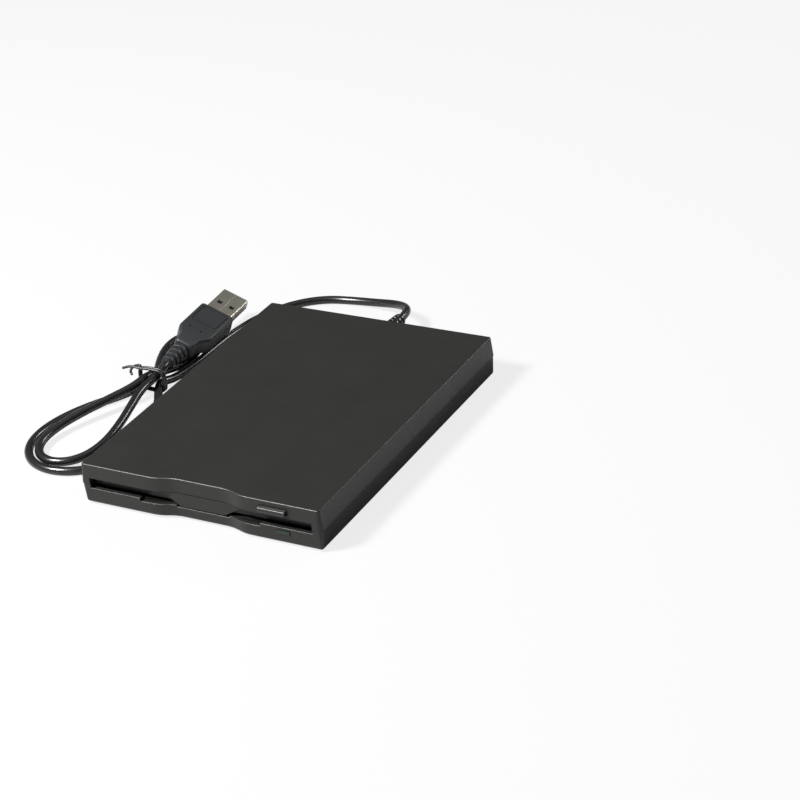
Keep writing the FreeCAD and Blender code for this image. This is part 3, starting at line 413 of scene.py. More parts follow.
@dataclass(frozen=True)
class Rubber(Finish):
    """Matt rubber with a dusty bloom."""

    name: str
    colour: Colour = (0.016, 0.016, 0.016, 1.0)
    bloom: Colour = (0.06, 0.058, 0.055, 1.0)

    def build(self, graph: Graph) -> bpy.types.Material:
        """Dull, with fine tooth."""
        place = graph.place()
        tooth = graph.noise(place, 2600.0, 3.0, 0.7)
        cloud = graph.noise(place, 210.0, 4.0, 0.6)
        return graph.finish(
            Base_Color=graph.blend(cloud.smooth(0.4, 0.8) * 0.6 + tooth * 0.15, self.colour, self.bloom),
            Roughness=cloud * 0.15 + 0.72,
            Specular_IOR_Level=0.3,
            Normal=graph.bump(tooth, 0.00008, 0.6),
        )


@dataclass(frozen=True)
class Gloss(Finish):
    """Smooth moulded, glazed or lens material."""

    name: str
    colour: Colour
    other: Colour
    rough: float = 0.16
    cloud_scale: float = 240.0
    facets: float = 0.0

    def build(self, graph: Graph) -> bpy.types.Material:
        """Even colour with a slight cloud, and ribs where it has facets."""
        place = graph.place()
        cloud = graph.noise(place, self.cloud_scale, 3.0, 0.5)
        height = cloud * 0.3
        if self.facets:
            height = height + graph.wave(place, self.facets, "X")
        return graph.finish(
            Base_Color=graph.blend(cloud, self.colour, self.other),
            Roughness=cloud * 0.12 + self.rough,
            Normal=graph.bump(height, 0.00006, 0.4),
        )


CASE_PLASTIC = MouldedPlastic("case_plastic_sand")
BUTTON_PLASTIC = MouldedPlastic("button_plastic", rough=0.3, grain_strength=0.18, specular=0.5,
                                colour=(0.017, 0.017, 0.016, 1.0))
CHIP_PLASTIC = MouldedPlastic("chip_epoxy", rough=0.55, grain=5200.0, grain_strength=0.35)
PLUG_PLASTIC = MouldedPlastic("plug_soft_plastic", colour=(0.0095, 0.0105, 0.0115, 1.0), rough=0.42,
                              worn=(0.022, 0.023, 0.025, 1.0), grain=2900.0, grain_strength=0.32,
                              specular=0.42)
CABLE_JACKET = Jacket("cable_jacket")
TIE_COAT = Jacket("tie_coat", rough=0.38, colour=(0.0075, 0.0075, 0.0075, 1.0))
ZINC_SHEET = SheetMetal("zinc_sheet", (0.60, 0.60, 0.57, 1.0), (0.44, 0.44, 0.42, 1.0))
SCREW_STEEL = SheetMetal("screw_steel", (0.30, 0.30, 0.31, 1.0), (0.18, 0.18, 0.19, 1.0), rough=0.3)
BRIGHT_STEEL = SheetMetal("bright_steel", (0.70, 0.70, 0.69, 1.0), (0.56, 0.56, 0.55, 1.0), rough=0.2)
MOTOR_STEEL = SheetMetal("motor_steel", (0.64, 0.64, 0.62, 1.0), (0.48, 0.48, 0.47, 1.0), brushed=Axis.X)
PLUG_NICKEL = SheetMetal("plug_nickel", (0.60, 0.58, 0.50, 1.0), (0.36, 0.35, 0.28, 1.0), rough=0.36,
                         line_depth=0.000005, scratch=1.0)
# Near-black metal for the plug's window springs: painted shade for the shell's open windows, not the colour
# of spring steel.
SPRING_STEEL_PAINTED_SHADE = SheetMetal("spring_steel_painted_shade", (0.075, 0.078, 0.09, 1.0), (0.03, 0.03, 0.035, 1.0), rough=0.24)
BRASS = SheetMetal("bearing_brass_metal", (0.72, 0.52, 0.22, 1.0), (0.55, 0.38, 0.15, 1.0), rough=0.26)
GOLD = SheetMetal("contact_gold_metal", (0.88, 0.63, 0.24, 1.0), (0.76, 0.52, 0.18, 1.0), rough=0.18)
BOARD = CircuitLaminate("board_lacquer")
COPPER = WoundWire("coil_wire")
FOOT_RUBBER = Rubber("foot_rubber_matt")
LAMP_GREEN = Gloss("lamp_green", (0.003, 0.009, 0.005, 1.0), (0.005, 0.018, 0.009, 1.0), 0.22, 400.0, 2400.0)
WHITE_PLASTIC = Gloss("tongue_white", (0.72, 0.72, 0.69, 1.0), (0.60, 0.60, 0.57, 1.0), 0.32)
IVORY_PLASTIC = Gloss("connector_ivory", (0.50, 0.45, 0.34, 1.0), (0.42, 0.37, 0.28, 1.0), 0.38)
CERAMIC = Gloss("head_ceramic_glaze", (0.16, 0.13, 0.11, 1.0), (0.30, 0.27, 0.24, 1.0), 0.12, 900.0)

NODE_FINISHES: dict[str, Finish] = {
    "top_cover": CASE_PLASTIC, "bottom_cover": CASE_PLASTIC, "eject_button": BUTTON_PLASTIC,
    "slot_flap": CASE_PLASTIC, "led_lens": LAMP_GREEN, "rubber_feet": FOOT_RUBBER,
    "case_screws": SCREW_STEEL, "mechanism_screws": SCREW_STEEL, "chassis": ZINC_SHEET,
    "cartridge_holder": ZINC_SHEET, "eject_slider": ZINC_SHEET, "mechanism_cover": ZINC_SHEET,
    "shutter_lever": BRIGHT_STEEL, "lever_rivet": BRIGHT_STEEL, "motor_board": BOARD,
    "spindle_bearing": BRASS, "stator_coils": COPPER, "spindle_rotor": BRIGHT_STEEL,
    "drive_pin": BRIGHT_STEEL, "head_carriage": CHIP_PLASTIC, "lower_head": CERAMIC,
    "upper_head_arm": CHIP_PLASTIC, "arm_pivot_rod": BRIGHT_STEEL, "upper_head": CERAMIC,
    "guide_rods": BRIGHT_STEEL, "rod_clamps": ZINC_SHEET, "lead_screw": BRIGHT_STEEL,
    "screw_bracket": ZINC_SHEET, "motor_bracket": ZINC_SHEET, "stepper_motor": MOTOR_STEEL,
    "main_board": BOARD, "bridge_board": BOARD, "circuit_chips": CHIP_PLASTIC,
    "cable_socket": IVORY_PLASTIC, "board_ribbon": IVORY_PLASTIC, "disk_switches": CHIP_PLASTIC,
    "plug_tongue": WHITE_PLASTIC, "plug_contacts": GOLD,
}


def mesh_piece(name: str, mesh: bmesh.types.BMesh, finish: Finish,
               smooth_angle: float = 35.0) -> bpy.types.Object:
    """Make a piece from a mesh whose points are already in place.

    Args:
        name: The piece's name.
        mesh: The mesh, which is freed.
        finish: What it is dressed in.
        smooth_angle: Edges flatter than this, in degrees, are shaded smooth.

    Returns:
        The piece.
    """
    bmesh.ops.remove_doubles(mesh, verts=mesh.verts, dist=1e-7)
    bmesh.ops.recalc_face_normals(mesh, faces=mesh.faces)
    for face in mesh.faces:
        face.smooth = True
    limit = math.radians(smooth_angle)
    for edge in mesh.edges:
        edge.smooth = len(edge.link_faces) == 2 and edge.calc_face_angle(math.pi) < limit
    data = bpy.data.meshes.new(name)
    mesh.to_mesh(data)
    mesh.free()
    data.materials.append(finish.material())
    piece = bpy.data.objects.new(name, data)
    bpy.context.scene.collection.objects.link(piece)
    return piece


def applied(piece: bpy.types.Object) -> bpy.types.Object:
    """Turn a piece with modifiers into a plain mesh under the same name.

    Args:
        piece: The piece.

    Returns:
        The same piece, without modifiers.
    """
    graph = bpy.context.evaluated_depsgraph_get()
    made = bpy.data.meshes.new_from_object(piece.evaluated_get(graph), depsgraph=graph)
    old = piece.data
    piece.modifiers.clear()
    piece.data = made
    made.name = piece.name
    bpy.data.meshes.remove(old)
    return piece


def cut(piece: bpy.types.Object, tool: bmesh.types.BMesh) -> None:
    """Take a shape out of a piece.

    Args:
        piece: The piece, changed in place.
        tool: The shape, which is freed.
    """
    bmesh.ops.recalc_face_normals(tool, faces=tool.faces)
    data = bpy.data.meshes.new("cutter")
    tool.to_mesh(data)
    tool.free()
    cutter = bpy.data.objects.new("cutter", data)
    bpy.context.scene.collection.objects.link(cutter)
    modifier = piece.modifiers.new("cut", "BOOLEAN")
    modifier.operation = "DIFFERENCE"
    modifier.solver = "EXACT"
    modifier.object = cutter
    bpy.context.view_layer.update()
    applied(piece)
    bpy.data.objects.remove(cutter)
    bpy.data.meshes.remove(data)


def rounded_rectangle(half_x: float, half_z: float, radius: float, y: float, steps: int = 6) -> list[Vector]:
    """The outline of a section across Y.

    Args:
        half_x: Half the width.
        half_z: Half the height.
        radius: The corners' radius.
        y: Where the section is.
        steps: Segments in each corner.

    Returns:
        The outline's points, in order.
    """
    radius = min(radius, half_x, half_z)
    points = []
    for corner, (sx, sz) in enumerate(((1, 1), (-1, 1), (-1, -1), (1, -1))):
        for step in range(steps + 1):
            angle = math.pi / 2 * (corner + step / steps)
            x = sx * (half_x - radius) + radius * math.cos(angle)
            z = sz * (half_z - radius) + radius * math.sin(angle)
            points.append(Vector((x, y, z)))
    return points


def ring(radius: float, y: float, steps: int = 40) -> list[Vector]:
    """A circle across Y.

    Args:
        radius: Its radius.
        y: Where it is.
        steps: How many points it has.

    Returns:
        The circle's points, in order.
    """
    turn = 2 * math.pi / steps
    return [Vector((radius * math.cos(i * turn), y, radius * math.sin(i * turn))) for i in range(steps)]


def loft(sections: Sequence[Sequence[Vector]], closed_ends: bool = True) -> bmesh.types.BMesh:
    """Join sections of the same count into a skin.

    Args:
        sections: Outlines, in order.
        closed_ends: Whether the first and last are capped.

    Returns:
        The mesh.
    """
    mesh = bmesh.new()
    rings = [[mesh.verts.new(point) for point in section] for section in sections]
    for first, second in zip(rings, rings[1:]):
        for index, vert in enumerate(first):
            after = (index + 1) % len(first)
            mesh.faces.new((vert, first[after], second[after], second[index]))
    if closed_ends:
        mesh.faces.new(rings[0])
        mesh.faces.new(rings[-1])
    return mesh


def bent_tube(name: str, route: Sequence[Vector], radius: float, finish: Finish, sides: int,
              steps: int) -> bpy.types.Object:
    """Make a round tube along a smooth curve.

    Args:
        name: The piece's name.
        route: The curve's control points, in metres.
        radius: The tube's radius.
        finish: What it is dressed in.
        sides: How finely it is rounded.
        steps: Steps between two points.

    Returns:
        The tube.
    """
    data = bpy.data.curves.new(name, "CURVE")
    data.dimensions = "3D"
    data.bevel_depth = radius
    data.bevel_resolution = sides
    data.resolution_u = steps
    data.use_fill_caps = True
    spline = data.splines.new("NURBS")
    spline.points.add(len(route) - 1)
    for knot, point in zip(spline.points, route):
        knot.co = (*point, 1.0)
    spline.order_u = 3
    spline.use_endpoint_u = True
    data.materials.append(finish.material())
    tube = bpy.data.objects.new(name, data)
    bpy.context.scene.collection.objects.link(tube)
    return tube


def block(low: Sequence[float], high: Sequence[float]) -> bmesh.types.BMesh:
    """A block between two corners, for cutting with."""
    size = Vector(high) - Vector(low)
    centre = (Vector(high) + Vector(low)) / 2
    mesh = bmesh.new()
    bmesh.ops.create_cube(mesh, size=1.0, matrix=Matrix.Translation(centre) @ Matrix.Diagonal((*size, 1.0)))
    return mesh


class Repeat:
    """A Geometry Nodes tree that sets one shape along a row, with named inputs."""

    def __init__(self, name: str) -> None:
        """Start an empty tree with a geometry input and output.

        Args:
            name: The tree's name.
        """
        self.tree = bpy.data.node_groups.new(name, "GeometryNodeTree")
        self.tree.interface.new_socket("Geometry", in_out="INPUT", socket_type="NodeSocketGeometry")
        self.tree.interface.new_socket("Geometry", in_out="OUTPUT", socket_type="NodeSocketGeometry")
        self.identifiers: dict[str, str] = {}
        self.entry = self.tree.nodes.new("NodeGroupInput")
        self.exit = self.tree.nodes.new("NodeGroupOutput")

    def ask(self, name: str, kind: str) -> None:
        """Add a named input.

        Args:
            name: The input's name.
            kind: Its socket type, such as Float, Int, Vector, Material or Object.
        """
        item = self.tree.interface.new_socket(name, in_out="INPUT", socket_type="NodeSocket" + kind)
        self.identifiers[name] = item.identifier

    def given(self, name: str) -> bpy.types.NodeSocket:
        """The socket that carries a named input."""
        return self.entry.outputs[name]

    def node(self, kind: str, settings: dict[str, Any], inputs: dict[Any, Any],
             output: Any = 0) -> bpy.types.NodeSocket:
        """Add any node.

        Args:
            kind: The node's type.
            settings: Properties of the node, set first.
            inputs: Values or links for its sockets.
            output: Which output to return.

        Returns:
            The chosen output.
        """
        made = self.tree.nodes.new(kind)
        for key, setting in settings.items():
            setattr(made, key, setting)
        for key, value in inputs.items():
            if isinstance(value, bpy.types.NodeSocket):
                self.tree.links.new(value, made.inputs[key])
            else:
                made.inputs[key].default_value = value
        return made.outputs[output]

    def end(self, instances: bpy.types.NodeSocket) -> None:
        """Realize the instances, set their material and close the tree.

        Args:
            instances: What the tree made.
        """
        real = self.node("GeometryNodeRealizeInstances", {}, {"Geometry": instances})
        inputs = {"Geometry": real, "Material": self.given("Material")}
        dressed = self.node("GeometryNodeSetMaterial", {}, inputs)
        self.tree.links.new(dressed, self.exit.inputs["Geometry"])

    def make(self, name: str, values: dict[str, Any]) -> bpy.types.Object:
        """Run the tree on an empty mesh and keep the result.

        Args:
            name: The new piece's name.
            values: What each named input is set to.

        Returns:
            The piece, as a plain mesh.
        """
        piece = bpy.data.objects.new(name, bpy.data.meshes.new(name))
        bpy.context.scene.collection.objects.link(piece)
        modifier = piece.modifiers.new("repeat", "NODES")
        modifier.node_group = self.tree
        for key, value in values.items():
            modifier[self.identifiers[key]] = value
        piece.update_tag()
        bpy.context.view_layer.update()
        return applied(piece)


def ring_row_tree() -> Repeat:
    """Rings across Y, evenly spaced, that grow from one radius to another."""
    row = Repeat("ring_row")
    row.ask("Count", "Int")
    for name in ("Spacing", "First Radius", "Last Radius", "Band Width", "Band Height"):
        row.ask(name, "Float")
    row.ask("Material", "Material")
    step = row.node("ShaderNodeCombineXYZ", {}, {"Y": row.given("Spacing")})
    points = row.node("GeometryNodeMeshLine", {}, {"Count": row.given("Count"), "Offset": step})
    index = row.node("GeometryNodeInputIndex", {}, {})
    last = row.node("ShaderNodeMath", {"operation": "SUBTRACT"}, {0: row.given("Count"), 1: 1.0})
    share = row.node("ShaderNodeMath", {"operation": "DIVIDE"}, {0: index, 1: last})
    growth = row.node("ShaderNodeMapRange", {}, {"Value": share, "To Min": row.given("First Radius"),
                                                 "To Max": row.given("Last Radius")})
    circle = row.node("GeometryNodeCurvePrimitiveCircle", {}, {"Resolution": 48, "Radius": 1.0})
    grow = row.node("ShaderNodeCombineXYZ", {}, {"X": growth, "Y": growth, "Z": 1.0})
    upright = row.node("FunctionNodeEulerToRotation", {}, {"Euler": (math.pi / 2, 0.0, 0.0)})
    rings = row.node("GeometryNodeInstanceOnPoints", {}, {"Points": points, "Instance": circle, "Scale": grow,
                                                          "Rotation": upright}, "Instances")
    paths = row.node("GeometryNodeRealizeInstances", {}, {"Geometry": rings})
    profile = row.node("GeometryNodeCurvePrimitiveQuadrilateral", {"mode": "RECTANGLE"},
                       {"Width": row.given("Band Height"), "Height": row.given("Band Width")})
    soft = row.node("GeometryNodeFilletCurve", {"mode": "POLY"},
                    {"Curve": profile, "Count": 3, "Radius": 0.22 * MM, "Limit Radius": True})
    bands = row.node("GeometryNodeCurveToMesh", {}, {"Curve": paths, "Profile Curve": soft})
    smooth = row.node("GeometryNodeSetShadeSmooth", {}, {"Geometry": bands})
    row.end(smooth)
    return row


def box_row_tree() -> Repeat:
    """Small legs or blocks in a straight row."""
    row = Repeat("box_row")
    for name, kind in (("Count", "Int"), ("Start", "Vector"), ("Step", "Vector"), ("Size", "Vector"),
                       ("Material", "Material")):
        row.ask(name, kind)
    line = {"Count": row.given("Count"), "Start Location": row.given("Start"), "Offset": row.given("Step")}
    points = row.node("GeometryNodeMeshLine", {}, line)
    leg = row.node("GeometryNodeMeshCube", {}, {"Size": row.given("Size")})
    legs = row.node("GeometryNodeInstanceOnPoints", {}, {"Points": points, "Instance": leg}, "Instances")
    row.end(legs)
    return row


def scatter_tree() -> Repeat:
    """Small parts of two lengths, scattered over a rectangle on a grid."""
    field = Repeat("part_scatter")
    for name, kind in (("Centre", "Vector"), ("Width", "Float"), ("Depth", "Float"), ("Count X", "Int"),
                       ("Count Y", "Int"), ("Size", "Vector"), ("Keep", "Float"), ("Seed", "Int"),
                       ("Material", "Material")):
        field.ask(name, kind)
    size = {"Size X": field.given("Width"), "Size Y": field.given("Depth")}
    counts = {"Vertices X": field.given("Count X"), "Vertices Y": field.given("Count Y")}
    grid = field.node("GeometryNodeMeshGrid", {}, size | counts)
    placed = field.node("GeometryNodeTransform", {}, {"Geometry": grid, "Translation": field.given("Centre")})
    chance = field.node("FunctionNodeRandomValue", {"data_type": "FLOAT"}, {"Seed": field.given("Seed")}, 1)
    kept = field.node("FunctionNodeCompare", {"data_type": "FLOAT", "operation": "LESS_THAN"},
                      {0: chance, 1: field.given("Keep")})
    part = field.node("GeometryNodeMeshCube", {}, {"Size": field.given("Size")})
    turn = field.node("FunctionNodeRandomValue", {"data_type": "INT"}, {"Min": 0, "Max": 1, "Seed": 5}, 2)
    angle = field.node("ShaderNodeMath", {"operation": "MULTIPLY"}, {0: turn, 1: math.pi / 2})
    euler = field.node("ShaderNodeCombineXYZ", {}, {"Z": angle})
    rotation = field.node("FunctionNodeEulerToRotation", {}, {"Euler": euler})
    spread = {"Points": placed, "Selection": kept, "Instance": part, "Rotation": rotation}
    parts = field.node("GeometryNodeInstanceOnPoints", {}, spread, "Instances")
    field.end(parts)
    return field


@dataclass
class Studio:
    """The camera, the plain white floor and soft lights."""

    camera_place: Vector = Vector((0.4248, -0.63835, 0.4275))
    forward: Vector = Vector((-0.44673, 0.75692, -0.47698))
    roll_degrees: float = -5.8
    focal_pixels: float = 2250.0
    frame_pixels: float = 800.0
    sensor: float = 36.0
    floor_size: float = 8.0
    floor_grey: float = 0.40
    floor_seen_white: float = 0.80
    floor_mirrored_white: float = 0.02
    room_fill: float = 0.12

    def build(self) -> None:
        """Make everything that isn't the object."""
        self.make_camera()
        self.make_floor()
        self.make_world()
        self.make_lights()
        bpy.context.scene.view_settings.view_transform = "Standard"

    def make_camera(self) -> None:
        """Set the camera where the photograph was taken from."""
        data = bpy.data.cameras.new("camera")
        data.sensor_width = self.sensor
        data.lens = self.focal_pixels / self.frame_pixels * self.sensor
        data.clip_start = 0.01
        data.clip_end = 50.0
        camera = bpy.data.objects.new("camera", data)
        bpy.context.scene.collection.objects.link(camera)
        ahead = self.forward.normalized()
        level = ahead.cross(Vector((0, 0, 1))).normalized()
        up = level.cross(ahead)
        roll = math.radians(self.roll_degrees)
        right = level * math.cos(roll) + up * math.sin(roll)
        top = up * math.cos(roll) - level * math.sin(roll)
        turned = Matrix((right, top, -ahead)).transposed().to_4x4()
        camera.matrix_world = Matrix.Translation(self.camera_place) @ turned
        bpy.context.scene.camera = camera

    def make_floor(self) -> None:
        """A white floor that keeps the object's shadow."""
        mesh = bmesh.new()
        bmesh.ops.create_grid(mesh, x_segments=4, y_segments=4, size=self.floor_size / 2)
        data = bpy.data.meshes.new("floor")
        mesh.to_mesh(data)
        mesh.free()
        floor = bpy.data.objects.new("floor", data)
        bpy.context.scene.collection.objects.link(floor)
        graph = Graph("floor_white")
        graph.finish(Base_Color=grey(self.floor_grey), Roughness=0.95, Specular_IOR_Level=0.0)
        glow = graph.node("ShaderNodeEmission", {}, {"Color": grey(1.0), "Strength": 1.0})
        path = graph.node("ShaderNodeLightPath", {}, {}, "Is Camera Ray")
        mirror = graph.node("ShaderNodeLightPath", {}, {}, "Is Glossy Ray")
        seen = path * self.floor_seen_white + mirror * self.floor_mirrored_white
        lit = Value(graph, graph.shader.outputs[0])
        mixed = graph.node("ShaderNodeMixShader", {}, {0: seen, 1: lit, 2: glow})
        surface = graph.tree.nodes["Material Output"].inputs["Surface"]
        graph.tree.links.new(mixed.socket, surface)
        data.materials.append(graph.material)

    def make_world(self) -> None:
        """A pale room that the camera sees as white."""
        world = bpy.data.worlds.new("room")
        bpy.context.scene.world = world
        world.use_nodes = True
        tree = world.node_tree
        tree.nodes.clear()
        out = tree.nodes.new("ShaderNodeOutputWorld")
        path = tree.nodes.new("ShaderNodeLightPath")
        mix = tree.nodes.new("ShaderNodeMixShader")
        tree.links.new(path.outputs["Is Camera Ray"], mix.inputs[0])
        for socket, strength in ((1, self.room_fill), (2, 1.0)):
            glow = tree.nodes.new("ShaderNodeBackground")
            glow.inputs["Color"].default_value = grey(1.0)
            glow.inputs["Strength"].default_value = strength
            tree.links.new(glow.outputs[0], mix.inputs[socket])
        tree.links.new(mix.outputs[0], out.inputs[0])

    def make_lights(self) -> None:
        """A key at the front left, a strip at the back right, and weak light from above and in front."""
        self.lamp("key", Vector((-0.58, -0.62, 0.99)), 0.26, 0.26, 44.0)
        self.lamp("back_strip", Vector((0.76, 1.21, 0.72)), 0.8, 0.16, 9.0)
        self.lamp("overhead", Vector((-0.1, 0.25, 1.3)), 1.2, 1.0, 2.0)
        self.lamp("front", Vector((0.3, -1.25, 0.45)), 0.9, 0.3, 0.8)

    def lamp(self, name: str, place: Vector, width: float, height: float, power: float) -> None:
        """One area light that faces the object.

        Args:
            name: Its name.
            place: Where it stands.
            width: Its width.
            height: Its height.
            power: Its power, in watts.
        """
        data = bpy.data.lights.new(name, "AREA")
        data.shape = "RECTANGLE"
        data.size = width
        data.size_y = height
        data.energy = power
        light = bpy.data.objects.new(name, data)
        bpy.context.scene.collection.objects.link(light)
        light.location = place
        light.rotation_euler = (-place).to_track_quat("-Z", "Y").to_euler()


@dataclass(frozen=True)
class Loop:
    """One loop of the hank, in millimetres.

    Attributes:
        reach: How far it goes from the tie.
        half_width: Half its width.
        bulge: How far from the tie its widest part is; more is farther.
        far: The point that it heads for.
        points: How many points the whole turn has.
        side: 1 or -1, the side that it goes out on.
        fade: The share of the reach over which it comes down to the floor.
    """

    reach: float
    half_width: float
    bulge: float
    far: Vector
    points: int
    side: int
    fade: float

    def route(self, tie: Vector, lay: float, rise_out: float, rise_back: float) -> list[Vector]:
        """From the tie round the far end and back.

        Args:
            tie: Where the runs are tied.
            lay: The height of a cable that lies on the floor.
            rise_out: How much higher the run out leaves the tie.
            rise_back: How much higher the run back comes to it.

        Returns:
            The loop's points.
        """
        axis = (self.far - tie).normalized()
        across_axis = Vector((-axis.y, axis.x, 0)) * self.side
        points = []
        for index in range(2, self.points - 1):
            turn = 2 * math.pi * index / self.points
            along = self.reach * math.sin(turn / 2) ** 2
            across = self.half_width / 0.7 * math.sin(turn) * math.sin(turn / 2) ** self.bulge
            rise = rise_out if index < self.points / 2 else rise_back
            height = lay + rise * max(0.0, 1.0 - along / (self.fade * self.reach))
            points.append(tie + axis * along + across_axis * across + Vector((0, 0, height)))
        return points


LARGE_LOOP = Loop(70.7, 19.4, 0.8, Vector((-79.2, -66.0, 0)), 16, 1, 0.15)
BEND_UNDER_PLUG = Loop(47.0, 7.6, 1.6, Vector((-86.5, 59.7, 0)), 12, 1, 0.42)
SMALL_LOOP = Loop(65.3, 14.6, 2.1, Vector((-84.1, -65.6, 0)), 16, -1, 1.0)


@dataclass
class Cable:
    """The USB cable: out of the boot, round the corner, along the left wall and into a tied hank."""

    diameter: float = 3.5
    lay: float = 1.8
    tie: Vector = Vector((-75.3, 13.9, 0.0))
    tie_lift: float = 1.95
    strand_gap: float = 0.6
    back: float = 71.65
    boot_length: float = 17.0
    boot_height: float = 8.9
    plug_start: Vector = Vector((-73.2, 21.0, 9.55))
    plug_lead_in: float = 2.4
    yaw: float = 2.4
    tilt: float = 1.5
    length: float = 0.589

    def plug_direction(self) -> Vector:
        """Which way the plug points."""
        yaw = math.radians(self.yaw)
        tilt = math.radians(self.tilt)
        return Vector((-math.sin(yaw) * math.cos(tilt), math.cos(yaw) * math.cos(tilt), math.sin(tilt)))

    def lead(self) -> list[Vector]:
        """From the boot's tip to the tie, in millimetres."""
        high, low = self.boot_height, self.lay
        route = [(0, 94.0, high), (-3.6, 101.0, 7.9), (-12.0, 106.6, 5.4), (-23.5, 109.4, 3.0),
                 (-35.5, 110.2, low), (-47.0, 108.0, low), (-56.6, 101.4, low), (-63.6, 91.6, low),
                 (-67.8, 79.6, low), (-70.0, 66.4, low), (-70.4, 53.0, low), (-70.2, 40.0, low)]
        return [Vector((0, self.back + self.boot_length, high))] + [Vector(point) for point in route]

    def hank(self) -> list[Vector]:
        """The large loop, the bend under the plug and the small loop, in millimetres."""
        low = self.lay + self.tie_lift
        high = low + self.diameter + self.strand_gap
        near = (self.diameter + self.strand_gap) / 2
        up, top = low - self.lay, high - self.lay
        tie, lay = self.tie, self.lay
        points = [tie + Vector((near + 1.4, 10.5, lay)), tie + Vector((near, 4.5, low - 0.6)),
                  tie + Vector((near, 0, low))]
        points += LARGE_LOOP.route(tie, lay, up, up)
        points.append(tie + Vector((-near, 0, low)))
        points += BEND_UNDER_PLUG.route(tie, lay, up, top)
        points.append(tie + Vector((-near, 0, high)))
        points += SMALL_LOOP.route(tie, lay, top, top)
        points += [tie + Vector((near, 0, high)), tie + Vector((near + 0.1, 2.6, high + 0.55))]
        return points

    def points(self) -> list[Vector]:
        """The whole route in metres, from the boot to the plug."""
        entry = self.plug_start - self.plug_direction() * self.plug_lead_in
        return [point * MM for point in self.lead() + self.hank() + [entry, self.plug_start]]

    def build(self) -> bpy.types.Object:
        """Make the cable as one smooth curve.

        Returns:
            The cable.
        """
        cable = bent_tube("usb_cable", self.points(), self.diameter / 2 * MM, CABLE_JACKET, 6, 8)
        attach(cable, "case")
        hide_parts("usb_cable_lead", "usb_cable_hank", "usb_cable_tail")
        return cable


@dataclass
class TwistTie:
    """The wire tie round the hank: a free end, two turns and a bent over end."""

    wire: float = 0.55
    pitch: float = 1.3
    left: float = 7.0
    right: float = 5.6
    clearance: float = 0.75

    def points(self, cable: Cable) -> list[Vector]:
        """The wire's route in millimetres.

        Args:
            cable: The cable that it goes round.

        Returns:
            The points.
        """
        spread = cable.diameter + cable.strand_gap
        centre = cable.tie + Vector((0, 0.2, cable.lay + cable.tie_lift + spread / 2))
        left, right = self.left, self.right
        high = cable.diameter + cable.strand_gap / 2 + self.wire + self.clearance
        corner = high * 0.93
        turn = [(-left * 0.9, corner), (0, high), (right * 0.9, corner), (right, 0), (right * 0.9, -corner),
                (0, -high), (-left * 0.9, -corner), (-left, 0)]
        step = Vector((0, self.pitch, 0))
        free_end = ((-13.4, -0.6, 3.9), (-10.6, -0.2, 5.0), (-8.0, 0, 5.2))
        points = [centre - step + Vector(place) for place in free_end]
        for index in range(2 * len(turn) + 1):
            x, z = turn[index % len(turn)]
            points.append(centre - step + Vector((x, index * self.pitch / len(turn), z)))
        bent_end = ((-8.4, 0.3, 4.3), (-10.8, 0.6, 3.2), (-12.2, -0.6, 1.4), (-10.6, -1.4, 0.4))
        return points + [centre + step + Vector(place) for place in bent_end]

    def build(self, cable: Cable) -> bpy.types.Object:
        """Make the tie as one bent wire.

        Args:
            cable: The cable that it goes round.

        Returns:
            The tie.
        """
        route = [point * MM for point in self.points(cable)]
        tie = bent_tube("wire_tie", route, self.wire * MM, TIE_COAT, 4, 10)
        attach(tie, "case")
        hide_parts("twist_tie")
        return tie


@dataclass
class Boot:
    """The strain relief behind the case: a tapered sleeve with rounded rings."""

    root: float = 3.6
    tip: float = 2.5
    core: float = 2.2
    length: float = 17.0
    rings: int = 5

    def build(self, cable: Cable, rows: Repeat) -> list[bpy.types.Object]:
        """Make the sleeve and its rings.

        Args:
            cable: The cable that comes out of it.
            rows: The ring row tree.

        Returns:
            The pieces.
        """
        back, height = cable.back, cable.boot_height
        root, core, end = self.root, self.core, self.length
        profile = [(-4.0, root + 0.6), (-2.85, root + 0.6), (-2.8, root - 0.6), (-0.1, root - 0.6),
                   (0.0, root - 0.15), (0.15, root), (3.2, root - 0.2), (3.9, root - 0.35),
                   (4.2, core), (end - 0.5, core - 0.02), (end - 0.1, 2.0), (end, 1.76)]
        centre = Vector((0, back, height))
        sections = [[(centre + point) * MM for point in ring(radius, along)] for along, radius in profile]
        sleeve = mesh_piece("cable_boot_sleeve", loft(sections), CABLE_JACKET)
        rings = rows.make("cable_boot_rings", {
            "Count": self.rings, "Spacing": 2.5 * MM, "First Radius": (self.root - 0.55) * MM,
            "Last Radius": (self.tip - 0.25) * MM, "Band Width": 1.5 * MM, "Band Height": 0.9 * MM,
            "Material": CABLE_JACKET.material()})
        rings.data.transform(Matrix.Translation(Vector((0, back + 5.6, height)) * MM))
        for piece in (sleeve, rings):
            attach(piece, "case")
        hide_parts("cable_boot")
        return [sleeve, rings]


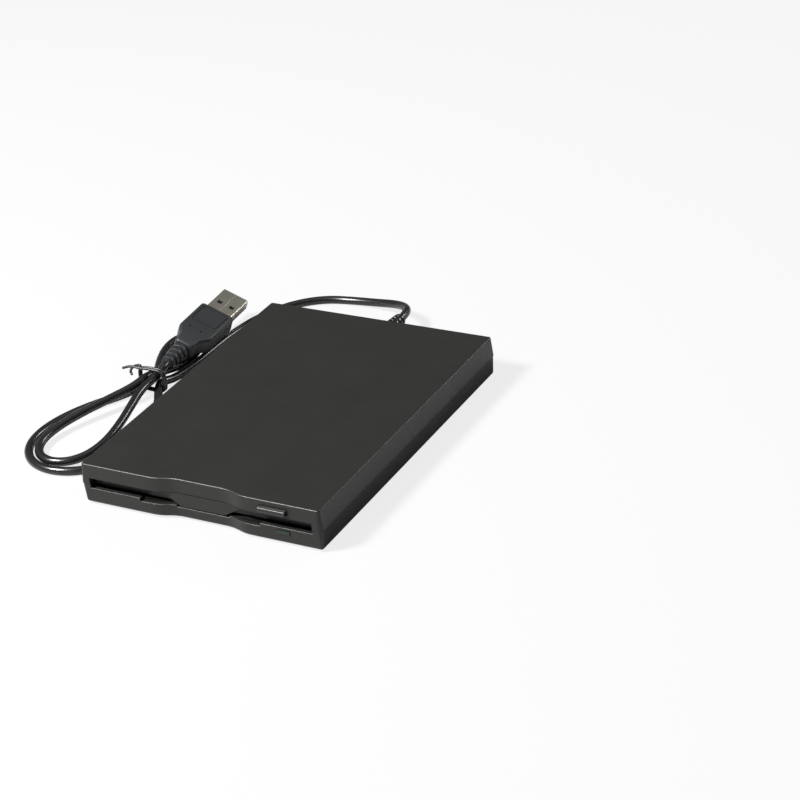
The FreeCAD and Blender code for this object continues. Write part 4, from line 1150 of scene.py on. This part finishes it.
@dataclass
class Plug:
    """The USB plug: a ribbed sleeve, a grip with an inset panel and a seamed metal shell."""

    body_width: float = 15.8
    body_thick: float = 7.6
    body_length: float = 28.0
    sleeve_length: float = 14.4
    shell_width: float = 12.0
    shell_thick: float = 4.5
    shell_length: float = 16.5
    shell_wall: float = 0.3
    window_x: float = 2.9
    rib_count: int = 4
    rib_spacing: float = 3.0
    roll: float = 22.0
    panel_inset: float = 2.0
    groove: float = 0.35
    pin_hole: float = 0.45

    def placement(self, cable: Cable) -> Matrix:
        """From the plug's own frame in millimetres to where it lies, in metres.

        Args:
            cable: The cable that it ends.

        Returns:
            The placement.
        """
        roll = Matrix.Rotation(math.radians(self.roll), 4, "Y")
        tilt = Matrix.Rotation(math.radians(cable.tilt), 4, "X")
        yaw = Matrix.Rotation(math.radians(cable.yaw), 4, "Z")
        return Matrix.Scale(MM, 4) @ Matrix.Translation(cable.plug_start) @ yaw @ tilt @ roll

    def grip(self) -> bpy.types.Object:
        """The grip in its own frame, with panel grooves and pin holes."""
        start = self.sleeve_length - 1.2
        end = self.sleeve_length + self.body_length
        half, thick = self.body_width / 2, self.body_thick / 2
        stations = [(start, 3.4, 3.0), (start + 0.4, 4.0, 3.3), (start + 1.2, 4.5, thick - 0.25),
                    (start + 3.4, 4.6, thick - 0.2), (start + 4.7, 4.7, thick), (start + 6.2, 5.4, thick),
                    (start + 7.6, 6.5, thick), (start + 9.0, 7.4, thick), (start + 10.4, half - 0.06, thick),
                    (start + 12.0, half, thick), (end - 0.7, half, thick),
                    (end - 0.25, half - 0.18, thick - 0.16), (end, half - 0.6, thick - 0.5)]
        sections = [rounded_rectangle(wide, tall, 1.5, y) for y, wide, tall in stations]
        grip = mesh_piece("plug_grip", loft(sections), PLUG_PLASTIC, 30.0)
        for side in (-1, 1):
            self.cut_panel(grip, side, end)
        for place in ((-3.6, start + 11.5), (1.9, start + 11.0)):
            hole = bmesh.new()
            where = Matrix.Translation((place[0], place[1], thick))
            bmesh.ops.create_cone(hole, cap_ends=True, segments=20, radius1=self.pin_hole,
                                  radius2=self.pin_hole, depth=2.0, matrix=where)
            cut(grip, hole)
        return grip

    def cut_panel(self, grip: bpy.types.Object, side: int, end: float) -> None:
        """Cut the groove that outlines the panel.

        Args:
            grip: The grip.
            side: 1 for the upper face, -1 for the lower.
            end: Where the grip's front face is.
        """
        half = self.body_width / 2 - self.panel_inset
        low, high = end - 13.0, end - self.panel_inset + 0.4
        middle, reach = (low + high) / 2, (high - low) / 2
        level = side * self.body_thick / 2
        outlines = []
        for grown, depth in ((0.0, 1.0), (0.0, -0.32), (-self.groove, -0.32), (-self.groove, 1.0)):
            outline = rounded_rectangle(half + grown, reach + grown, 1.2 + grown, 0.0)
            outlines.append([Vector((p.x, middle + p.z, level + side * depth)) for p in outline])
        ring = loft(outlines + outlines[:1], closed_ends=False)
        bmesh.ops.remove_doubles(ring, verts=ring.verts, dist=1e-6)
        cut(grip, ring)

    def sleeve(self) -> bpy.types.Object:
        """The sleeve's core in its own frame."""
        profile = [(0.0, 1.78), (0.15, 2.1), (0.6, 2.2), (self.sleeve_length - 0.8, 2.5),
                   (self.sleeve_length + 0.3, 3.0)]
        sections = [ring(radius, along) for along, radius in profile]
        return mesh_piece("plug_sleeve", loft(sections), PLUG_PLASTIC)

    def shell(self) -> bpy.types.Object:
        """The metal shell in its own frame, with windows, a seam and flared mouth edges."""
        low = self.sleeve_length + self.body_length - 1.0
        high = low + 1.0 + self.shell_length
        wide, tall, wall = self.shell_width / 2, self.shell_thick / 2, self.shell_wall
        outer = [(low, 0.0, 0.0), (high - 0.12, 0.0, 0.0), (high, 0.07, 0.07)]
        inner = [(high, wall - 0.07, wall - 0.07), (high - 0.15, wall, wall), (low, wall, wall)]
        sections = [rounded_rectangle(wide - dx, tall - dz, 0.5, y, 5) for y, dx, dz in outer]
        sections += [rounded_rectangle(wide - dx, tall - dz, 0.3, y, 5) for y, dx, dz in inner]
        skin = loft(sections + sections[:1], closed_ends=False)
        shell = mesh_piece("plug_shell_seamed", skin, PLUG_NICKEL, 30.0)
        window_low = low + 7.0
        for side in (-1, 1):
            x = side * self.window_x
            cut(shell, block((x - 1.1, window_low, -5.0), (x + 1.1, window_low + 2.2, 5.0)))
        cut(shell, block((-0.06, low - 1, tall - 0.16), (0.06, high + 1, tall + 1)))
        cut(shell, block((-0.8, window_low - 2.2, tall - 0.16), (0.8, window_low - 2.05, tall + 1)))
        return shell

    def springs(self) -> bpy.types.Object:
        """The spring tongues that fill the upper windows, in the plug's own frame; they are near-black to
        paint the shade that the open windows show.
        """
        low = self.sleeve_length + self.body_length
        top = self.shell_thick / 2
        mesh = bmesh.new()
        for side in (-1, 1):
            x = side * self.window_x
            profile = [(low + 6.05, top - 0.08), (low + 6.9, top - 0.18), (low + 7.8, top - 0.25),
                       (low + 8.15, top - 0.22)]
            rows = []
            for y, z in profile:
                rows.append([mesh.verts.new((x + dx, y, z + dz)) for dx, dz in
                             ((-1.04, 0.0), (1.04, 0.0), (1.04, -0.04), (-1.04, -0.04))])
            for first, second in zip(rows, rows[1:]):
                for index in range(4):
                    after = (index + 1) % 4
                    mesh.faces.new((first[index], first[after], second[after], second[index]))
            mesh.faces.new(rows[0])
            mesh.faces.new(rows[-1])
        return mesh_piece("plug_springs_painted_shade", mesh, SPRING_STEEL_PAINTED_SHADE)

    def build(self, cable: Cable, rows: Repeat) -> list[bpy.types.Object]:
        """Make the plug and set it where it lies.

        Args:
            cable: The cable that it ends.
            rows: The ring row tree.

        Returns:
            The pieces.
        """
        ribs = rows.make("plug_ribs", {
            "Count": self.rib_count, "Spacing": self.rib_spacing * MM,
            "First Radius": 2.45 * MM, "Last Radius": 2.95 * MM,
            "Band Width": 1.75 * MM, "Band Height": 0.9 * MM, "Material": PLUG_PLASTIC.material()})
        ribs.data.transform(Matrix.Scale(1 / MM, 4))
        ribs.data.transform(Matrix.Translation((0, 1.9, 0)))
        grip, sleeve, shell, springs = self.grip(), self.sleeve(), self.shell(), self.springs()
        placement = self.placement(cable)
        soft = [grip, sleeve, ribs]
        for piece in soft + [shell, springs]:
            piece.data.transform(placement)
            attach(piece, "case")
            "cable_rubber" if piece in soft else "plug_steel"
        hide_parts("plug_overmould")
        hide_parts("plug_shell")
        return soft + [shell, springs]


@dataclass
class Electronics:
    """Legs and small parts on the boards inside the case."""

    leg_pitch: float = 0.8
    legs_in_row: int = 10
    leg: Vector = Vector((0.35, 0.9, 0.16))
    chip_low: Vector = Vector((19.5, 41.5, 0.0))
    chip_high: Vector = Vector((28.5, 50.5, 0.0))
    small_part: Vector = Vector((1.1, 0.6, 0.45))

    def build(self) -> list[bpy.types.Object]:
        """Make the legs and the small parts.

        Returns:
            The pieces.
        """
        pieces = self.chip_legs(box_row_tree())
        pieces += self.small_parts(scatter_tree())
        for piece in pieces:
            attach(piece, "case")
        return pieces

    def chip_legs(self, rows: Repeat) -> list[bpy.types.Object]:
        """Rows of tinned legs at two sides of the large chip.

        Args:
            rows: The box row tree.

        Returns:
            The pieces.
        """
        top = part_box("main_board")[1].z
        made = []
        for name, y in (("front", self.chip_low.y - 0.3), ("back", self.chip_high.y + 0.3)):
            start = Vector(((self.chip_low.x + 0.9) * MM, y * MM, top + 0.09 * MM))
            row = rows.make("chip_legs_" + name, {
                "Count": self.legs_in_row, "Start": start, "Step": Vector((self.leg_pitch, 0, 0)) * MM,
                "Size": self.leg * MM, "Material": BRIGHT_STEEL.material()})
            made.append(row)
        return made

    def small_parts(self, field: Repeat) -> list[bpy.types.Object]:
        """Tiny resistors and capacitors over both boards.

        Args:
            field: The scatter tree.

        Returns:
            The pieces.
        """
        made = []
        for name, finish, seed in (("main_board", CERAMIC, 3), ("bridge_board", IVORY_PLASTIC, 8)):
            low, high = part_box(name)
            size = self.small_part * MM
            centre = Vector(((low.x + high.x) / 2, high.y - 1.6 * MM, high.z + size.z / 2 + 0.01 * MM))
            parts = field.make(name + "_parts", {
                "Centre": centre, "Width": (high.x - low.x) * 0.8, "Depth": 1.2 * MM, "Count X": 14,
                "Count Y": 2, "Size": size, "Keep": 0.55, "Seed": seed, "Material": finish.material()})
            made.append(parts)
        return made


def dress_frame(finishes: dict[str, Finish]) -> list[str]:
    """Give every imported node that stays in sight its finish.

    Args:
        finishes: The finish of each node.

    Returns:
        The names of the nodes that were dressed.
    """
    for name, finish in finishes.items():
        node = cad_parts[name]
        material = finish.material()
        if node.data.materials:
            for index in range(len(node.data.materials)):
                node.data.materials[index] = material
        else:
            node.data.materials.append(material)
    return list(finishes)


def report(title: str, pieces: Iterable[Any]) -> None:
    """Say what was made.

    Args:
        title: The sub-assembly's name.
        pieces: Its pieces or their names.
    """
    names = [piece if isinstance(piece, str) else piece.name for piece in pieces]
    LOG.info("%s: %s", title, ", ".join(names))


def main() -> None:
    """Build the studio, the cable, its pieces and the finishes, in order."""
    Studio().build()
    cable = Cable()
    cord = cable.build()
    rows = ring_row_tree()
    tie = TwistTie().build(cable)
    boot = Boot().build(cable, rows)
    plug = Plug().build(cable, rows)
    tuple(cable.points()[0])
    report("cable", [cord, tie])
    report("boot", boot)
    report("plug", plug)
    report("electronics", Electronics().build())
    report("dressed", dress_frame(NODE_FINISHES))


if __name__ == "__main__":
    main()
